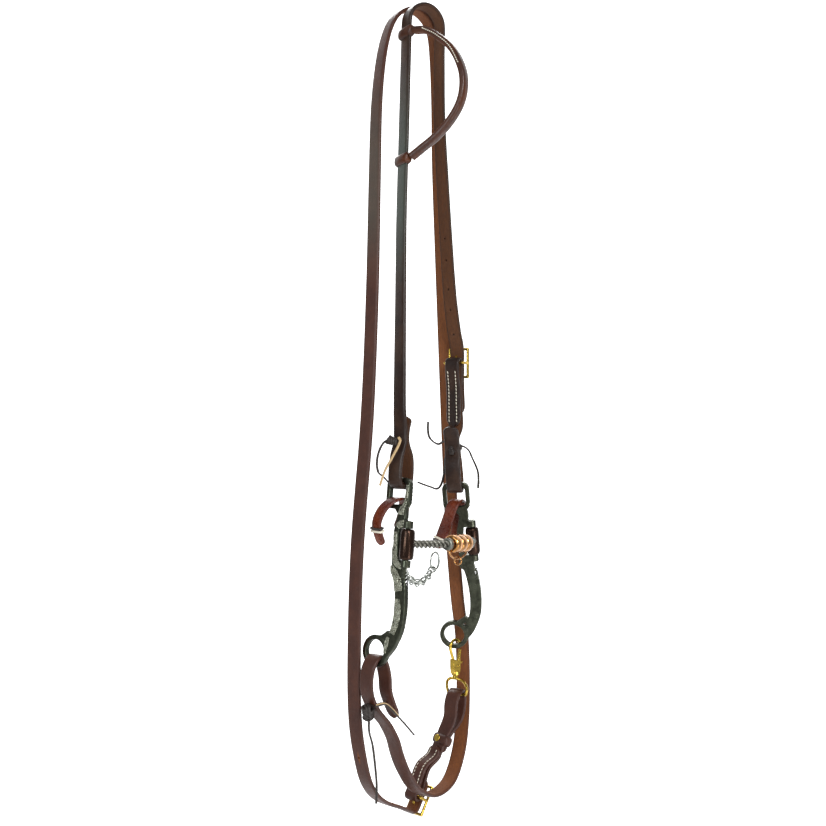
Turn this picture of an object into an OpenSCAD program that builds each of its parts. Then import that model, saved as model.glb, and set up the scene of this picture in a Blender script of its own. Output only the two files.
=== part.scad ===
// One-ear western bridle hung from a round bracket: headstall, loose-jaw curb bit,
// curb strap with chain, and a one-piece loop rein with a snap end.
// Millimetres. +Z is up, the horse faces -Y, and X runs across the bit with the near side at -X.
// The origin is level with the crown's underside, where it rests on the bracket.

/* [Straps] */
// Width of the crown, cheek and rein straps
strap_w = 15.9; // [13:0.1:16.8]
// Thickness of the crown, cheek and rein straps
strap_t = 3.6; // [3:0.1:4.3]
// Width of the curb straps
curb_w = 12; // [10:0.5:14]
// Thickness of the curb straps
curb_t = 3; // [2.5:0.1:3.6]
// Diameter of the lace that ties the loops
lace_d = 2.6; // [2:0.1:3.2]
// In-plane width of the ear piece
ear_w = 11; // [9:0.5:13]
// Thickness of the ear piece
ear_t = 6.4; // [5:0.1:7]

/* [Hanging] */
// Diameter of the round bracket under the crown
bracket_d = 36; // [30:0.2:43]
// Drop from the crown to the middle of the mouthpiece
cheek_drop = 533.5; // [445:0.5:640]
// How much lower the far side of the bit hangs
far_drop = 9; // [0:0.5:12]
// Outward lean of the near shank's lower end, in degrees
near_lean = 8; // [6:0.5:9]
// Outward lean of the far shank's lower end, in degrees
far_lean = 10; // [8:0.5:11]
// Inward turn of the near shank's rear, in degrees
near_toe = 8; // [4:1:10]
// Inward turn of the far shank's rear, in degrees
far_toe = 20; // [16:1:22]

/* [Bit] */
// Distance between the two hinge pins
mouth_w = 134; // [112:1:161]
// How far the rollers stand forward of the hinge pins
mouth_forward = 19; // [15:0.5:21]
// Diameter of the twisted mouth bars
bar_d = 8; // [6.5:0.1:9.6]
// Thickness of the shanks
shank_t = 5.6; // [4.7:0.1:6.7]
// Drop from the hinge's middle to the centre of the rein ring
ring_drop = 101.6; // [90:0.1:122]
// Distance of the rein ring's centre behind the hinge pin
ring_back = 28; // [26:0.5:32]
// Inside diameter of the rein ring
ring_id = 21.6; // [19:0.1:23]
// Width of the metal round the rein ring and the eye
ring_wire = 4.4; // [3.8:0.1:5]
// Width of the eye's hole
eye_w = 19.5; // [18.6:0.1:23.4]
// Height of the eye's hole
eye_h = 21; // [19:0.1:24]
// Diameter of the hinge sleeves
sleeve_d = 14; // [11.6:0.1:15.5]
// Length of the hinge sleeves
sleeve_h = 29; // [24:0.5:31]
// Diameter of the hinge pins
pin_d = 5; // [4:0.1:6]
// Radial clearance of a pin or axle in its bore
run_gap = 0.08; // [0.04:0.01:0.1]
// Thickness of the silver overlays
overlay_t = 0.9; // [0.6:0.1:1.2]
// Diameter of the copper rollers
roller_d = 18; // [15:0.1:21.6]
// Width of one copper roller
roller_w = 10.8; // [9:0.1:12]
// Diameter of the rollers' axle
axle_d = 4.6; // [3.8:0.1:5.6]

/* [Fittings] */
// Diameter of the buckles' bars and rails
rail_d = 3; // [2.5:0.1:3.6]
// Distance from a buckle's bar to each cross rail
rail_reach = 14.5; // [13.5:0.1:17.4]
// Diameter of the curb chain's wire
link_wire = 2.2; // [1.8:0.1:2.6]
// Radius of the middle of a curb chain link's wire
link_r = 5; // [4.8:0.1:5.6]
// Radius of the middle of a curb ring's wire
curb_ring_r = 9; // [8:0.1:10]
// Inside radius of the snap's hook
hook_r = 6.2; // [5.6:0.1:7.2]
// Diameter of the snap's hook wire
hook_wire = 3.2; // [2.7:0.1:3.8]

/* [Hidden] */
$fn = 48;

// Colours
dark_leather = "#2e1a14";
red_leather = "#6b3626";
lace_colour = "#3a2a20";
iron = "#26241f";
silver = "#c9c8b4";
copper = "#b06a3c";
brass = "#c9a544";
chain_colour = "#9aa09c";

// The design's own size, which the routes below were laid out for
mouth_w0 = 134;
cheek_drop0 = 533.5;
// Height at which the routes start to follow a longer cheek, and over how long
drop_from = 180;
drop_over = 180;

gap = 0.3;
bit_y = -17;
eye_back = 13.5;
eye_up = 48;
eye_bar_up = eye_up + eye_h / 2 + ring_wire / 2;
swivel_deg = 8;
ring_mid_r = ring_id / 2 + ring_wire / 2;

// ---- small vector helpers ----
function unit(v) = v / norm(v);
function xyz(p) = [p.x, p.y, p.z];
function ry(p, a) = [p.x * cos(a) + p.z * sin(a), p.y, -p.x * sin(a) + p.z * cos(a)];
function rz(p, a) = [p.x * cos(a) - p.y * sin(a), p.x * sin(a) + p.y * cos(a), p.z];
function clamp(v, low, high) = min(high, max(low, v));

// A route point moved to suit the mouth's width and the cheeks' length
function placed(p) = [
    p.x + clamp(p.x / 50, -1, 1) * (mouth_w - mouth_w0) / 2 * clamp((-p.z - 30) / 400, 0, 1),
    p.y,
    p.z - (cheek_drop - cheek_drop0) * clamp((-p.z - drop_from) / drop_over, 0, 1),
    p[3]
];

// A hinge's middle: side is -1 for near and 1 for far
function hinge_at(side) = [side * mouth_w / 2, bit_y, -cheek_drop - side * far_drop / 2];
function toe(side) = side < 0 ? near_toe : far_toe;
function lean(side) = side < 0 ? near_lean : far_lean;
// A point of a shank: outward from its plane, back from the pin, up from the hinge's middle
function on_shank(side, out, back, up) =
    hinge_at(side) + ry(rz([side * out, back, up], side * toe(side)), -side * lean(side));

// Points along a smooth curve through a route of [x, y, z, turn], n to a stretch
function curve_at(a, b, c, d, t) =
    let (long = norm(c - b), tb = unit(c - a) * long, tc = unit(d - b) * long)
    b * (2 * t * t * t - 3 * t * t + 1) + tb * (t * t * t - 2 * t * t + t)
    + c * (3 * t * t - 2 * t * t * t) + tc * (t * t * t - t * t);
function smooth(route, n) = let (last = len(route) - 1) concat(
    [for (i = [0:last - 1]) for (k = [0:n - 1]) let (
        a = xyz(route[max(i - 1, 0)]), b = xyz(route[i]),
        c = xyz(route[i + 1]), d = xyz(route[min(i + 2, last)]),
        p = curve_at(a, b, c, d, k / n),
        turn = route[i][3] * (1 - k / n) + route[i + 1][3] * k / n
    ) [p.x, p.y, p.z, turn]],
    [route[last]]
);

// Cross sections, as points across and through, going clockwise
function flat_section(w, t) = let (a = w / 2, b = t / 2, k = t / 4) [
    [a - k, b], [a, b - k], [a, k - b], [a - k, -b],
    [k - a, -b], [-a, k - b], [-a, b - k], [k - a, b]
];
function round_section(d, sides = 8) = [for (i = [0:sides - 1])
    [cos(-360 * i / sides), sin(-360 * i / sides)] * d / 2];

// The direction along a run of points at one of them
function along(points, i) =
    unit(xyz(points[min(i + 1, len(points) - 1)]) - xyz(points[max(i - 1, 0)]));
// The width direction there: level, at the point's turn, and square to the run
function level_across(turn, t, lift = 0) =
    let (level = [sin(turn), cos(turn), lift]) unit(level - (level * t) * t);

// One closed solid: a section swept along points; lift tips the width direction off level
module sweep(points, section, lift = 0) {
    last = len(points) - 1;
    m = len(section);
    rings = [for (i = [0:last]) let (
        t = along(points, i),
        a = level_across(points[i][3], t, lift),
        b = cross(t, a)
    ) for (s = section) xyz(points[i]) + a * s.x + b * s.y];
    polyhedron(rings, concat(
        [[for (j = [0:m - 1]) m - 1 - j]],
        [for (i = [0:last - 1]) for (j = [0:m - 1])
            [i * m + j, i * m + (j + 1) % m, (i + 1) * m + (j + 1) % m]],
        [for (i = [0:last - 1]) for (j = [0:m - 1])
            [i * m + j, (i + 1) * m + (j + 1) % m, (i + 1) * m + j]],
        [[for (j = [0:m - 1]) last * m + j]]
    ), convexity = 10);
}
// Children placed with X through a strap, Y across it and Z along it
module on_strap(p, t, turn) {
    a = level_across(turn, t);
    b = cross(a, t);
    multmatrix([[b.x, a.x, t.x, p.x], [b.y, a.y, t.y, p.y], [b.z, a.z, t.z, p.z]]) children();
}
module strap(route, n = 3) { sweep(smooth(route, n), flat_section(strap_w, strap_t)); }
module tube(route, d, n = 3, lift = 0.7) { sweep(smooth(route, n), round_section(d), lift); }

// A cylinder from one point to another
module rod(a, b, d) {
    v = b - a;
    translate(a) rotate([0, acos(v.z / norm(v)), atan2(v.y, v.x)]) cylinder(d = d, h = norm(v));
}
module on_side(side) {
    translate(hinge_at(side)) rotate([0, -side * lean(side), 0]) rotate([0, 0, side * toe(side)]) children();
}
// A plate in a shank's plane, from its outline of [back, up]
module plate(side, t, shift = 0) {
    on_side(side) translate([side * shift - t / 2, 0, 0])
        rotate([90, 0, 90]) linear_extrude(height = t) children();
}
module round_box(w, h, r) {
    square([w, h - 2 * r], center = true);
    square([w - 2 * r, h], center = true);
    for (x = [-1, 1], y = [-1, 1]) translate([x * (w / 2 - r), y * (h / 2 - r)]) circle(r);
}
// The outline of a band along [back, up, half width] points
module band(spine, n = 6) {
    fine = smooth([for (p = spine) [p.x, p.y, 0, p[2]]], n);
    last = len(fine) - 1;
    function off(i, side) = let (
        t = unit(xyz(fine[min(i + 1, last)]) - xyz(fine[max(i - 1, 0)])),
        p = fine[i]
    ) [p.x - side * t.y * p[3], p.y + side * t.x * p[3]];
    polygon(concat([for (i = [0:last]) off(i, 1)], [for (i = [last:-1:0]) off(i, -1)]));
}
module ring(r, d) { rotate_extrude() translate([r, 0]) circle(d = d, $fn = 24); }

// ---- headstall ----
fold_r = shank_t / 2 + (eye_back + strap_w / 2) * sin(swivel_deg) + 1.2 + strap_t / 2;
// The play of a cheek strap's loop under the eye's top bar
fold_play = 3;
fold_low = eye_bar_up - ring_wire / 2 - fold_play - strap_t / 2;
knot_up = 97;
layer = strap_t + 0.2;
// A cheek strap's loop through the eye, from its tail to above the lace
function eye_loop(side) = [for (p = [
    [-1.6, 122], [1.6, 109], [4.6 - layer, knot_up], [-fold_r + 2, knot_up - 14],
    [-fold_r, fold_low + fold_r + 1.5], [-fold_r * 0.71, fold_low + fold_r * 0.29],
    [0, fold_low], [fold_r * 0.71, fold_low + fold_r * 0.29],
    [fold_r, fold_low + fold_r + 1.5], [fold_r - 0.6, knot_up - 14], [4.8, knot_up], [5.6, 109]
]) let (q = on_shank(side, p.x, eye_back, p.y)) [q.x, q.y, q.z, -side * toe(side)]];

crown_r = bracket_d / 2 + strap_t / 2;
crown_turn = 26.5;
crown_mid = [-2.4, 2.4];
crown_dir = [cos(crown_turn), -sin(crown_turn)];
cheek_lean = [-0.115, -0.038];
// A point of the crown's arc, from 180 on the near side to 0 on the far side
function crown_at(a) = let (c = crown_mid + crown_dir * crown_r * cos(a))
    [c.x, c.y, crown_r * sin(a) - bracket_d / 2, crown_turn];
// A point of the straight near cheek at a height
function cheek_at(z) = let (top = crown_at(180), down = top.z - z)
    [top.x + cheek_lean.x * down, top.y + cheek_lean.y * down, z, crown_turn];

buckle_at = placed([49.5, -4, -353, 0]);
chape_r = rail_d / 2 + gap + strap_t / 2;
billet_out = chape_r + strap_t + gap;
rail_out = billet_out + strap_t / 2 + gap + rail_d / 2;
function at_buckle(out, up, turn = 0) = [buckle_at.x + out, buckle_at.y, buckle_at.z + up, turn];

function crown_route() = concat(
    eye_loop(-1),
    [for (p = [[-56.4, -2.6, -400, 16], [-53.6, -1.2, -352, 20], [-49.6, 0.6, -296, 24]]) placed(p)],
    [for (z = [-215, -160, -100, -60, -36]) cheek_at(z)],
    [for (a = [180:-22.5:0]) crown_at(a)],
    [for (p = [[16, -5.6, -45, 25], [19.8, -3.6, -107, 20], [27.6, -2.6, -165, 15],
        [35.4, -2.5, -226, 12], [42.2, -3.4, -285, 7]]) placed(p)],
    [at_buckle(0.4, 33, 2), at_buckle(billet_out - 2, 20), at_buckle(billet_out, 10),
        at_buckle(billet_out, -10), at_buckle(billet_out + 0.4, -26), at_buckle(billet_out + 2.4, -54)]
);
// The hole through both layers of a cheek's loop, which its lace goes through
module lace_hole() {
    translate([0, eye_back, knot_up]) rotate([0, 90, 0]) cylinder(d = lace_d + 0.6, h = 40, center = true);
}
module crown_strap() {
    color(dark_leather) difference() {
        strap(crown_route(), 2);
        // the hole that the tongue stands in, and the lace's hole
        translate(xyz(at_buckle(billet_out, 8.4))) cube([strap_t * 4, 4, 9], center = true);
        on_side(-1) lace_hole();
    }
}

ear_gap = 0.5;
ear_wall = 2.6;
// The ear piece's route from the upper sleeve to the lower one
ear_route = [
    [-22.6, 0.2, -28.6, 90], [-24.6, -12, -31, 90], [-27, -26, -39, 90], [-29, -43.6, -54, 90],
    [-31, -55.4, -74, 90], [-32, -59, -91, 90], [-33, -56, -109, 90], [-34, -46, -125, 90],
    [-35, -31, -139, 90], [-37, -14, -150.6, 90], [-38.4, -5, -156.6, 90]
];
module ear_sleeve(z) {
    on_strap(cheek_at(z), unit([-cheek_lean.x, -cheek_lean.y, 1]), crown_turn) difference() {
        cube([strap_t + 2 * (ear_gap + ear_wall), strap_w + 2 * (ear_gap + ear_wall), ear_w], center = true);
        cube([strap_t + 2 * ear_gap, strap_w + 2 * ear_gap, ear_w * 2], center = true);
    }
}
module ear_piece() {
    color(dark_leather) {
        sweep(smooth(ear_route, 3), flat_section(ear_t, ear_w));
        ear_sleeve(-29);
        ear_sleeve(-158);
    }
}

function far_cheek_route() = concat(
    [at_buckle(-0.2, -66, -4), at_buckle(-0.6, -46), at_buckle(-1.2, -26), at_buckle(-chape_r, -9)],
    [for (a = [180:-30:0]) at_buckle(chape_r * cos(a), chape_r * sin(a))],
    [at_buckle(chape_r, -9), at_buckle(layer - 0.9, -26), at_buckle(layer - 0.2, -46),
        at_buckle(layer + 0.4, -66, -8)],
    [for (i = [11:-1:0]) eye_loop(1)[i]]
);
module far_cheek_strap() {
    color(dark_leather) difference() {
        strap(far_cheek_route(), 2);
        translate(xyz(buckle_at)) chape_slot();
        on_side(1) lace_hole();
    }
}

// The slot that the tongue turns in, at a fold round a buckle's bar
module chape_slot() { translate([1.6, 0, 2]) cube([13, tongue_d + 0.8, 12.6], center = true); }
// A buckle about its bar: out is +X, the incoming strap comes from +Z, the bar runs along Y
module buckle_frame() {
    half = strap_w / 2 + 1 + rail_d / 2;
    color(brass) {
        rod([0, -half, 0], [0, half, 0], rail_d);
        for (z = [-1, 1]) rod([rail_out, -half, z * rail_reach], [rail_out, half, z * rail_reach], rail_d);
        for (y = [-half, half]) {
            rod([0, y, 0], [rail_out, y, 0], rail_d);
            rod([rail_out, y, -rail_reach], [rail_out, y, rail_reach], rail_d);
            translate([0, y, 0]) sphere(d = rail_d);
            for (z = [-1, 1]) translate([rail_out, y, z * rail_reach]) sphere(d = rail_d);
        }
    }
}
tongue_d = 2.4;
module buckle_tongue() {
    tip = [rail_out + 0.4, 0, rail_reach - 1.4];
    root_r = rail_d / 2 + run_gap + tongue_d / 2;
    away = unit(tip);
    color(brass) difference() {
        union() {
            rotate([90, 0, 0]) translate([0, 0, -tongue_d / 2])
                cylinder(r = rail_d / 2 + run_gap + 1.5, h = tongue_d);
            rod(away * root_r, tip - away * (rail_d / 2 + tongue_d / 2), tongue_d);
        }
        rotate([90, 0, 0]) cylinder(r = rail_d / 2 + run_gap, h = tongue_d * 3, center = true);
    }
}
module at_cheek_buckle() { translate(xyz(buckle_at)) children(); }

// ---- laces ----
// A lace knot: turns of lace side by side along X, with the lace end passing through the strap
module lace_knot(turns, r) {
    for (i = [0:turns - 1]) translate([(i - (turns - 1) / 2) * lace_d * 0.92, 0, 0]) rotate([0, 90, 0])
        cylinder(r = r - 0.35 * (i % 2), h = lace_d * 0.93, center = true);
}
// A lace through both layers of a loop, with its turns on the outer face
module bit_lace(side, r, out, back) {
    color(lace_colour) on_side(side) {
        translate([side * out, back, knot_up]) rotate([0, 12, side * 68]) lace_knot(4, r);
        translate([side * (out - 9), eye_back, knot_up]) rotate([0, side * 90, 0])
            cylinder(d = lace_d, h = 11);
    }
}
module near_bit_lace() { bit_lace(-1, 4.6, 12.7, eye_back + 3); }
module far_bit_lace() { bit_lace(1, 4.2, 12.7, eye_back - 2); }
// Routes of the laces' free ends
near_lace_route_a = [[-66.6, -7.4, -428, 0], [-67.4, -9.6, -431.6, 0], [-69.6, -2.4, -446.6, 0],
    [-72, 4.6, -460, 0], [-74.4, 8.6, -474, 0]];
near_lace_route_b = [[-66, 12.4, -437, 0], [-68, 15.4, -447.6, 0], [-70, 13.4, -461, 0],
    [-66.6, 9.4, -466, 0]];
far_lace_route_a = [[40, 2.6, -434, 0], [37, 8, -437, 0], [33, 15, -431, 0], [34, 18, -423, 0],
    [36, 19, -414, 0]];
far_lace_route_b = [[55, 9.4, -452, 0], [53, 10, -470, 0], [46.5, 12.4, -483, 0], [34, 16, -481, 0],
    [20, 22, -476, 0]];
far_lace_route_c = [[67, -12, -444, 0], [73, -12.6, -451, 0], [80, -16, -466, 0], [80, -17, -476, 0],
    [77, -18, -484, 0]];
module lace_end(route) { tube([for (p = route) placed(p)], lace_d); }
module near_lace_ends() {
    color(lace_colour) {
        lace_end(near_lace_route_a);
        lace_end(near_lace_route_b);
    }
}
module far_lace_ends() {
    color(lace_colour) {
        lace_end(far_lace_route_a);
        lace_end(far_lace_route_b);
        lace_end(far_lace_route_c);
    }
}

// ---- bit ----
lug_r = pin_d / 2 + 2.2;
lug_h = 7;
lug_mid = sleeve_h / 2 + 0.4 + lug_h / 2;
cup = sleeve_d / 2 + 1.6;
// The shank's outline of [back, up], with the hinge's middle at 0
module shank_outline() {
    difference() {
        union() {
            translate([eye_back, eye_up]) round_box(eye_w + 2 * ring_wire, eye_h + 2 * ring_wire, 7);
            band([[eye_back - 3, eye_up - eye_h / 2 - 2, 6], [7.2, 29, 4.9], [8.6, lug_mid + 1, 4.8],
                [cup + 3.6, 11, 3.4], [cup + 3.3, 0, 2.9], [cup + 3.2, -11, 3.6], [9.2, -lug_mid, 6.2],
                [5, -31, 6.6], [2.6, -45, 6.4], [1.7, -62, 6.1], [4, -80, 5.9],
                [ring_back - 17, -ring_drop + 6, 5.4], [ring_back - ring_mid_r + 1, -ring_drop - 3, 3.2]]);
            band([[13, -ring_drop + 19, 2], [17, -ring_drop + 15, 3],
                [ring_back - 5, -ring_drop + 12.6, 2]]);
            for (s = [-1, 1]) translate([4, s * lug_mid]) square([8, lug_h - 0.6], center = true);
            translate([9, -24]) circle(7.4);
            translate([ring_back, -ring_drop]) circle(ring_mid_r + ring_wire / 2);
        }
        translate([eye_back, eye_up]) round_box(eye_w, eye_h, 4.5);
        translate([ring_back, -ring_drop]) circle(ring_mid_r - ring_wire / 2);
    }
}
module shank(side) {
    color(iron) difference() {
        union() {
            plate(side, shank_t) difference() {
                shank_outline();
                translate([-cup, -sleeve_h / 2 - 0.4]) square([2 * cup, sleeve_h + 0.8]);
            }
            on_side(side) for (s = [-1, 1]) translate([0, 0, s * lug_mid])
                cylinder(r = lug_r, h = lug_h, center = true);
        }
        on_side(side) cylinder(r = pin_d / 2 + 0.02, h = 80, center = true);
    }
}
// The engraved plates on a shank's outer face, with the dark grooves left between them
module overlays(side) {
    color(silver) difference() {
        plate(side, overlay_t, shank_t / 2 + overlay_t / 2) overlay_outlines();
        on_side(side) cylinder(r = lug_r + 0.03, h = 2 * lug_mid + lug_h, center = true);
    }
}
module overlay_outlines() {
    band([[1.8, eye_up + 8, 1.4], [1.9, eye_up, 1.7], [3, eye_up - 9, 1.9], [6.6, 33, 2.8],
        [7.2, 27.6, 3.4]]);
    band([[3, lug_mid + 1.6, 3.2], [8.2, lug_mid, 3.4], [10.6, lug_mid - 2.6, 2.8]]);
    band([[cup + 3.6, 11.4, 2], [cup + 3.4, 0, 2.1], [cup + 3, -10, 2.6], [8.4, -18.4, 3.2],
        [2, -21.4, 2.4]]);
    band([[14.6, -20.6, 1.6], [10.4, -27, 3.6], [6, -35, 4.6], [4.4, -44, 4.4]]);
    band([[5, -51, 2.8], [3.6, -62, 4], [4.4, -72, 4], [8.2, -84, 3]]);
    band([[12.4, -ring_drop + 14.4, 1.6], [14.2, -ring_drop + 7, 2.6], [15.4, -ring_drop - 1, 1.3]]);
}
module hinge_pin(side) {
    color(iron) on_side(side) cylinder(d = pin_d, h = 2 * lug_mid + lug_h + 1, center = true);
}
module sleeve(side) {
    r = sleeve_d / 2;
    h = sleeve_h / 2;
    bore = pin_d / 2 + run_gap;
    color(iron) on_side(side) rotate_extrude() polygon([
        [bore, -h], [r - 1.6, -h], [r - 0.4, -h + 1.6], [r, -h + 4], [r, h - 4],
        [r - 0.4, h - 1.6], [r - 1.6, h], [bore, h]
    ]);
}

// The centre of the mouthpiece: its axle's middle and direction
mouth_mid = [0, bit_y - mouth_forward, -cheek_drop];
across = unit(hinge_at(1) - hinge_at(-1));
bail_d = 1.8;
stack = 3 * roller_w + 2 * gap + 2 * (bail_d + 0.8);
collar_w = 5;
collar_at = stack / 2 + collar_w / 2;
function on_axle(x) = mouth_mid + across * x;
module at_axle(x) { translate(on_axle(x)) rotate([0, 90 + asin(-across.z), 0]) children(); }
module mouth_bar(side) {
    color(iron) difference() {
        rod(hinge_at(side), on_axle(side * collar_at), bar_d);
        on_side(side) cylinder(d = sleeve_d + 0.04, h = sleeve_h, center = true);
        at_axle(side * (collar_at - 5)) cylinder(r = 12, h = collar_w + 10.04, center = true);
    }
}
module mouth_collars() {
    color(iron) for (s = [-1, 1]) at_axle(s * collar_at) difference() {
        cylinder(r = 6, h = collar_w, center = true);
        cylinder(r = axle_d / 2 + 0.02, h = collar_w * 2, center = true);
    }
}
module mouth_axle() { color(iron) at_axle(0) cylinder(d = axle_d, h = stack + 2 * collar_w, center = true); }
module roller(i) {
    r = roller_d / 2;
    h = roller_w / 2;
    bore = axle_d / 2 + run_gap;
    color(copper) at_axle((i - 1) * (roller_w + gap)) rotate_extrude() polygon([
        [bore, -h], [r - 1.8, -h], [r - 0.4, -h + 1.2], [r, 0], [r - 0.4, h - 1.2], [r - 1.8, h], [bore, h]
    ]);
}
// A copper bail that hangs from the axle's ends, and the key that hangs in it
bail_half = stack / 2 - bail_d / 2 - 0.7;
bail_drop = roller_d / 2 + 6;
bail_eye_r = axle_d / 2 + 0.4 + bail_d / 2;
key_r = 3.8;
key_wire = 1.6;
function at_bail(x, z) = let (p = on_axle(x)) [p.x - z * across.z, p.y, p.z + z * across.x, 0];
module copper_bail() {
    color(copper) {
        tube([at_bail(-bail_half, -bail_eye_r), at_bail(-bail_half, -bail_drop + 6),
            at_bail(-11, -bail_drop + 2), at_bail(-3, -bail_drop), at_bail(3, -bail_drop),
                at_bail(11, -bail_drop + 2),
            at_bail(bail_half, -bail_drop + 6), at_bail(bail_half, -bail_eye_r)], bail_d);
        for (s = [-1, 1]) at_axle(s * bail_half) ring(bail_eye_r, bail_d);
    }
}
module copper_key() {
    color(copper) translate(xyz(at_bail(0, -bail_drop - key_r + bail_d / 2 + key_wire / 2 + 0.3)))
        rotate([0, 90, 0]) ring(key_r, key_wire);
}

// ---- curb ----
curb_route_near = [[-66, 11.6, -531, 16], [-70, 13, -521, 16], [-73, 13, -510, 16], [-72.6, 8.6, -499, 14],
    [-69, 3, -491, 12], [-63, -1.8, -487.2, 8], [-56.6, -3.6, -487, 8], [-49.4, -3, -490, 8],
        [-45.4, -0.4, -499, 8],
    [-42.4, 4, -509, 6], [-39.4, 9.6, -519, 0]];
curb_route_far = [[69, 6.4, -545, -12], [70.6, 4.6, -532, -14], [70.4, 1.4, -516, -18],
    [68, -2, -503, -20],
    [62, -4, -497.4, -20], [54.4, -4.3, -496.4, -20], [47.4, -3.6, -501, -20], [43.6, 0, -515, -14],
    [41, 5, -530, -8], [39, 10, -545, 0]];
function curb_points(route) = smooth([for (p = route) placed(p)], 3);
module curb_strap(route) { color(red_leather) sweep(curb_points(route), flat_section(curb_w, curb_t)); }
// The two lace ties hold each strap's end
module curb_tie(route, i) {
    points = curb_points(route);
    color(lace_colour) on_strap(xyz(points[i]), along(points, i), points[i][3]) difference() {
        cube([curb_t + 3.4, curb_w + 3.4, 2.6], center = true);
        cube([curb_t + 0.8, curb_w + 0.8, 9], center = true);
    }
}
chain_a = 33;
chain_links = 13;
chain_near = -49;
chain_far = 27;
chain_low = placed([8, 13, -577, 0]);
// A point of the hanging chain, at a distance along it from its lowest point
function chain_at(s) = let (k = s / chain_a) [chain_low.x + chain_a * ln(k + sqrt(k * k + 1)),
    chain_low.y, chain_low.z + chain_a * (sqrt(1 + k * k) - 1)];
function chain_slope(s) = atan(s / chain_a);
module curb_chain() {
    color(chain_colour) for (i = [0:chain_links - 1])
        let (s = chain_near + (chain_far - chain_near) * i / (chain_links - 1))
        translate(chain_at(s)) rotate([0, -chain_slope(s), 0]) rotate([i % 2 == 0 ? 0 : 90, 0, 0])
            ring(link_r, link_wire);
}
curb_ring_off = curb_ring_r + link_r - link_wire - 0.5;
function curb_ring_at(side) = let (s = side < 0 ? chain_near : chain_far, d = chain_slope(s) + side * 14)
    chain_at(s) + [side * cos(d), 0, side * sin(d)] * curb_ring_off;
module curb_ring(side) {
    color(chain_colour) translate(curb_ring_at(side)) rotate([90, 0, 0]) ring(curb_ring_r, link_wire);
}

// ---- rein ----
ring_low = on_shank(-1, 0, ring_back, -ring_drop - ring_mid_r);
ring_fold = ring_mid_r - sqrt(pow(ring_id / 2, 2) - pow(strap_w / 2, 2)) + 0.5 + strap_t / 2;
rein_start = [11, -4, -58, 8];
// The rein's loop round the near ring, from its tail to below its lace
function ring_loop() = [for (p = [
    [17, -12, -52, 14], [14, -8.4, -41, 14], [11, -5, -27, 12], [10.5, -4, -12, 10], [8.2, -1.5, 1.5, 8],
    [0.8, 0, ring_fold, 8], [-8.2, 1, 1.5, 8], [-10.5, 3, -12, 10], [-9, 3, -27, 10], [-1.5, 1.6, -41, 10],
    [5, -1.2, -50, 9], rein_start
]) [ring_low.x + p.x, ring_low.y + p.y, ring_low.z + p.z, p[3]]];
// The rein's own route, from below the near ring, under the far ring, over the bracket
// beside the crown, and down to the buckle
rein_route = [
    [-58, 4.6, -717, 7], [-50, 5.6, -731, 4], [-43, 6, -743, 2],
    [-34, 6, -756, 2], [-17, 6, -775, 0], [-2, 4.6, -785.4, 0], [14, 3.4, -791.4, 0],
    [31, 1.4, -791, 0], [48, 0.4, -785, 0], [64, 1, -770, 0], [76, 2, -748, 0],
        [88, 5.6, -712, 0], [93, 9.4, -650, 0],
    [88, 13, -600, 0], [83, 16.4, -530, 0], [75, 15.8, -450, 0], [66.5, 15.4, -350, 2],
        [57, 14.4, -250, 4],
    [45, 12, -150, 10], [36, 8.8, -80, 20], [28, 7.6, -30, 26.5], [23.4, 9, -12, 26.5],
        [14.5, 13.4, -1, 26.5],
    [4, 18.8, 2.6, 26.5], [-8, 24.4, -1.6, 26.5], [-18, 29, -12, 26.5], [-26, 32, -30, 26.5],
    [-37, 31.4, -60, 24], [-48, 29, -105, 20], [-58, 24.6, -170, 16], [-69, 20.6, -290, 12],
    [-76, 22, -410, 10], [-82, 29, -530, 8], [-84, 31.4, -630, 8], [-84, 30, -700, 8],
    [-79, 24, -748, 10], [-66, 23.4, -769, 10], [-46, 24, -784, 11], [-14, 26, -799, 13],
        [6, 27.8, -808.4, 14]
];
function rein_path() = concat(
    [let (p = ring_loop()[11]) [p.x + 1.5, p.y - 0.5, p.z - 2.2, p[3]]],
    [for (p = rein_route) placed(p)]
);
module rein() { color(dark_leather) strap(rein_path(), 2); }
module rein_billet() {
    color(dark_leather) difference() {
        strap(billet_route(), 3);
        at_rein_buckle() translate([billet_out, 0, 9]) cube([strap_t * 4, 4, 12], center = true);
    }
}
module rein_ring_loop() {
    color(dark_leather) difference() {
        strap(ring_loop(), 3);
        translate(lace_mid) rotate([0, 90, -12]) cylinder(d = lace_d + 0.6, h = 60, center = true);
    }
}

lace_mid = [ring_low.x, ring_low.y - 1, ring_low.z - 39];
module rein_lace() {
    color(lace_colour) translate(lace_mid) rotate([0, 0, -12]) {
        translate([-11, -0.4, -4]) rotate([0, 62, 40]) lace_knot(5, 5);
        translate([-9, 0, 0]) rotate([0, 90, 0]) cylinder(d = lace_d, h = 30);
    }
}
rein_lace_route_a = [[-90, 2, -677, 0], [-81, -1, -684, 0], [-71, -5, -692, 0], [-58, -9, -703, 0],
    [-46, -12, -714, 0]];
rein_lace_route_b = [[-93, 9, -692, 0], [-90, 10.6, -704, 0], [-83, 11.4, -718, 0], [-77, 12, -742, 0],
    [-74, 12.4, -760, 0], [-75, 12.4, -776, 0]];
module rein_lace_ends() {
    color(lace_colour) {
        lace_end(rein_lace_route_a);
        lace_end(rein_lace_route_b);
    }
}

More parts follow.
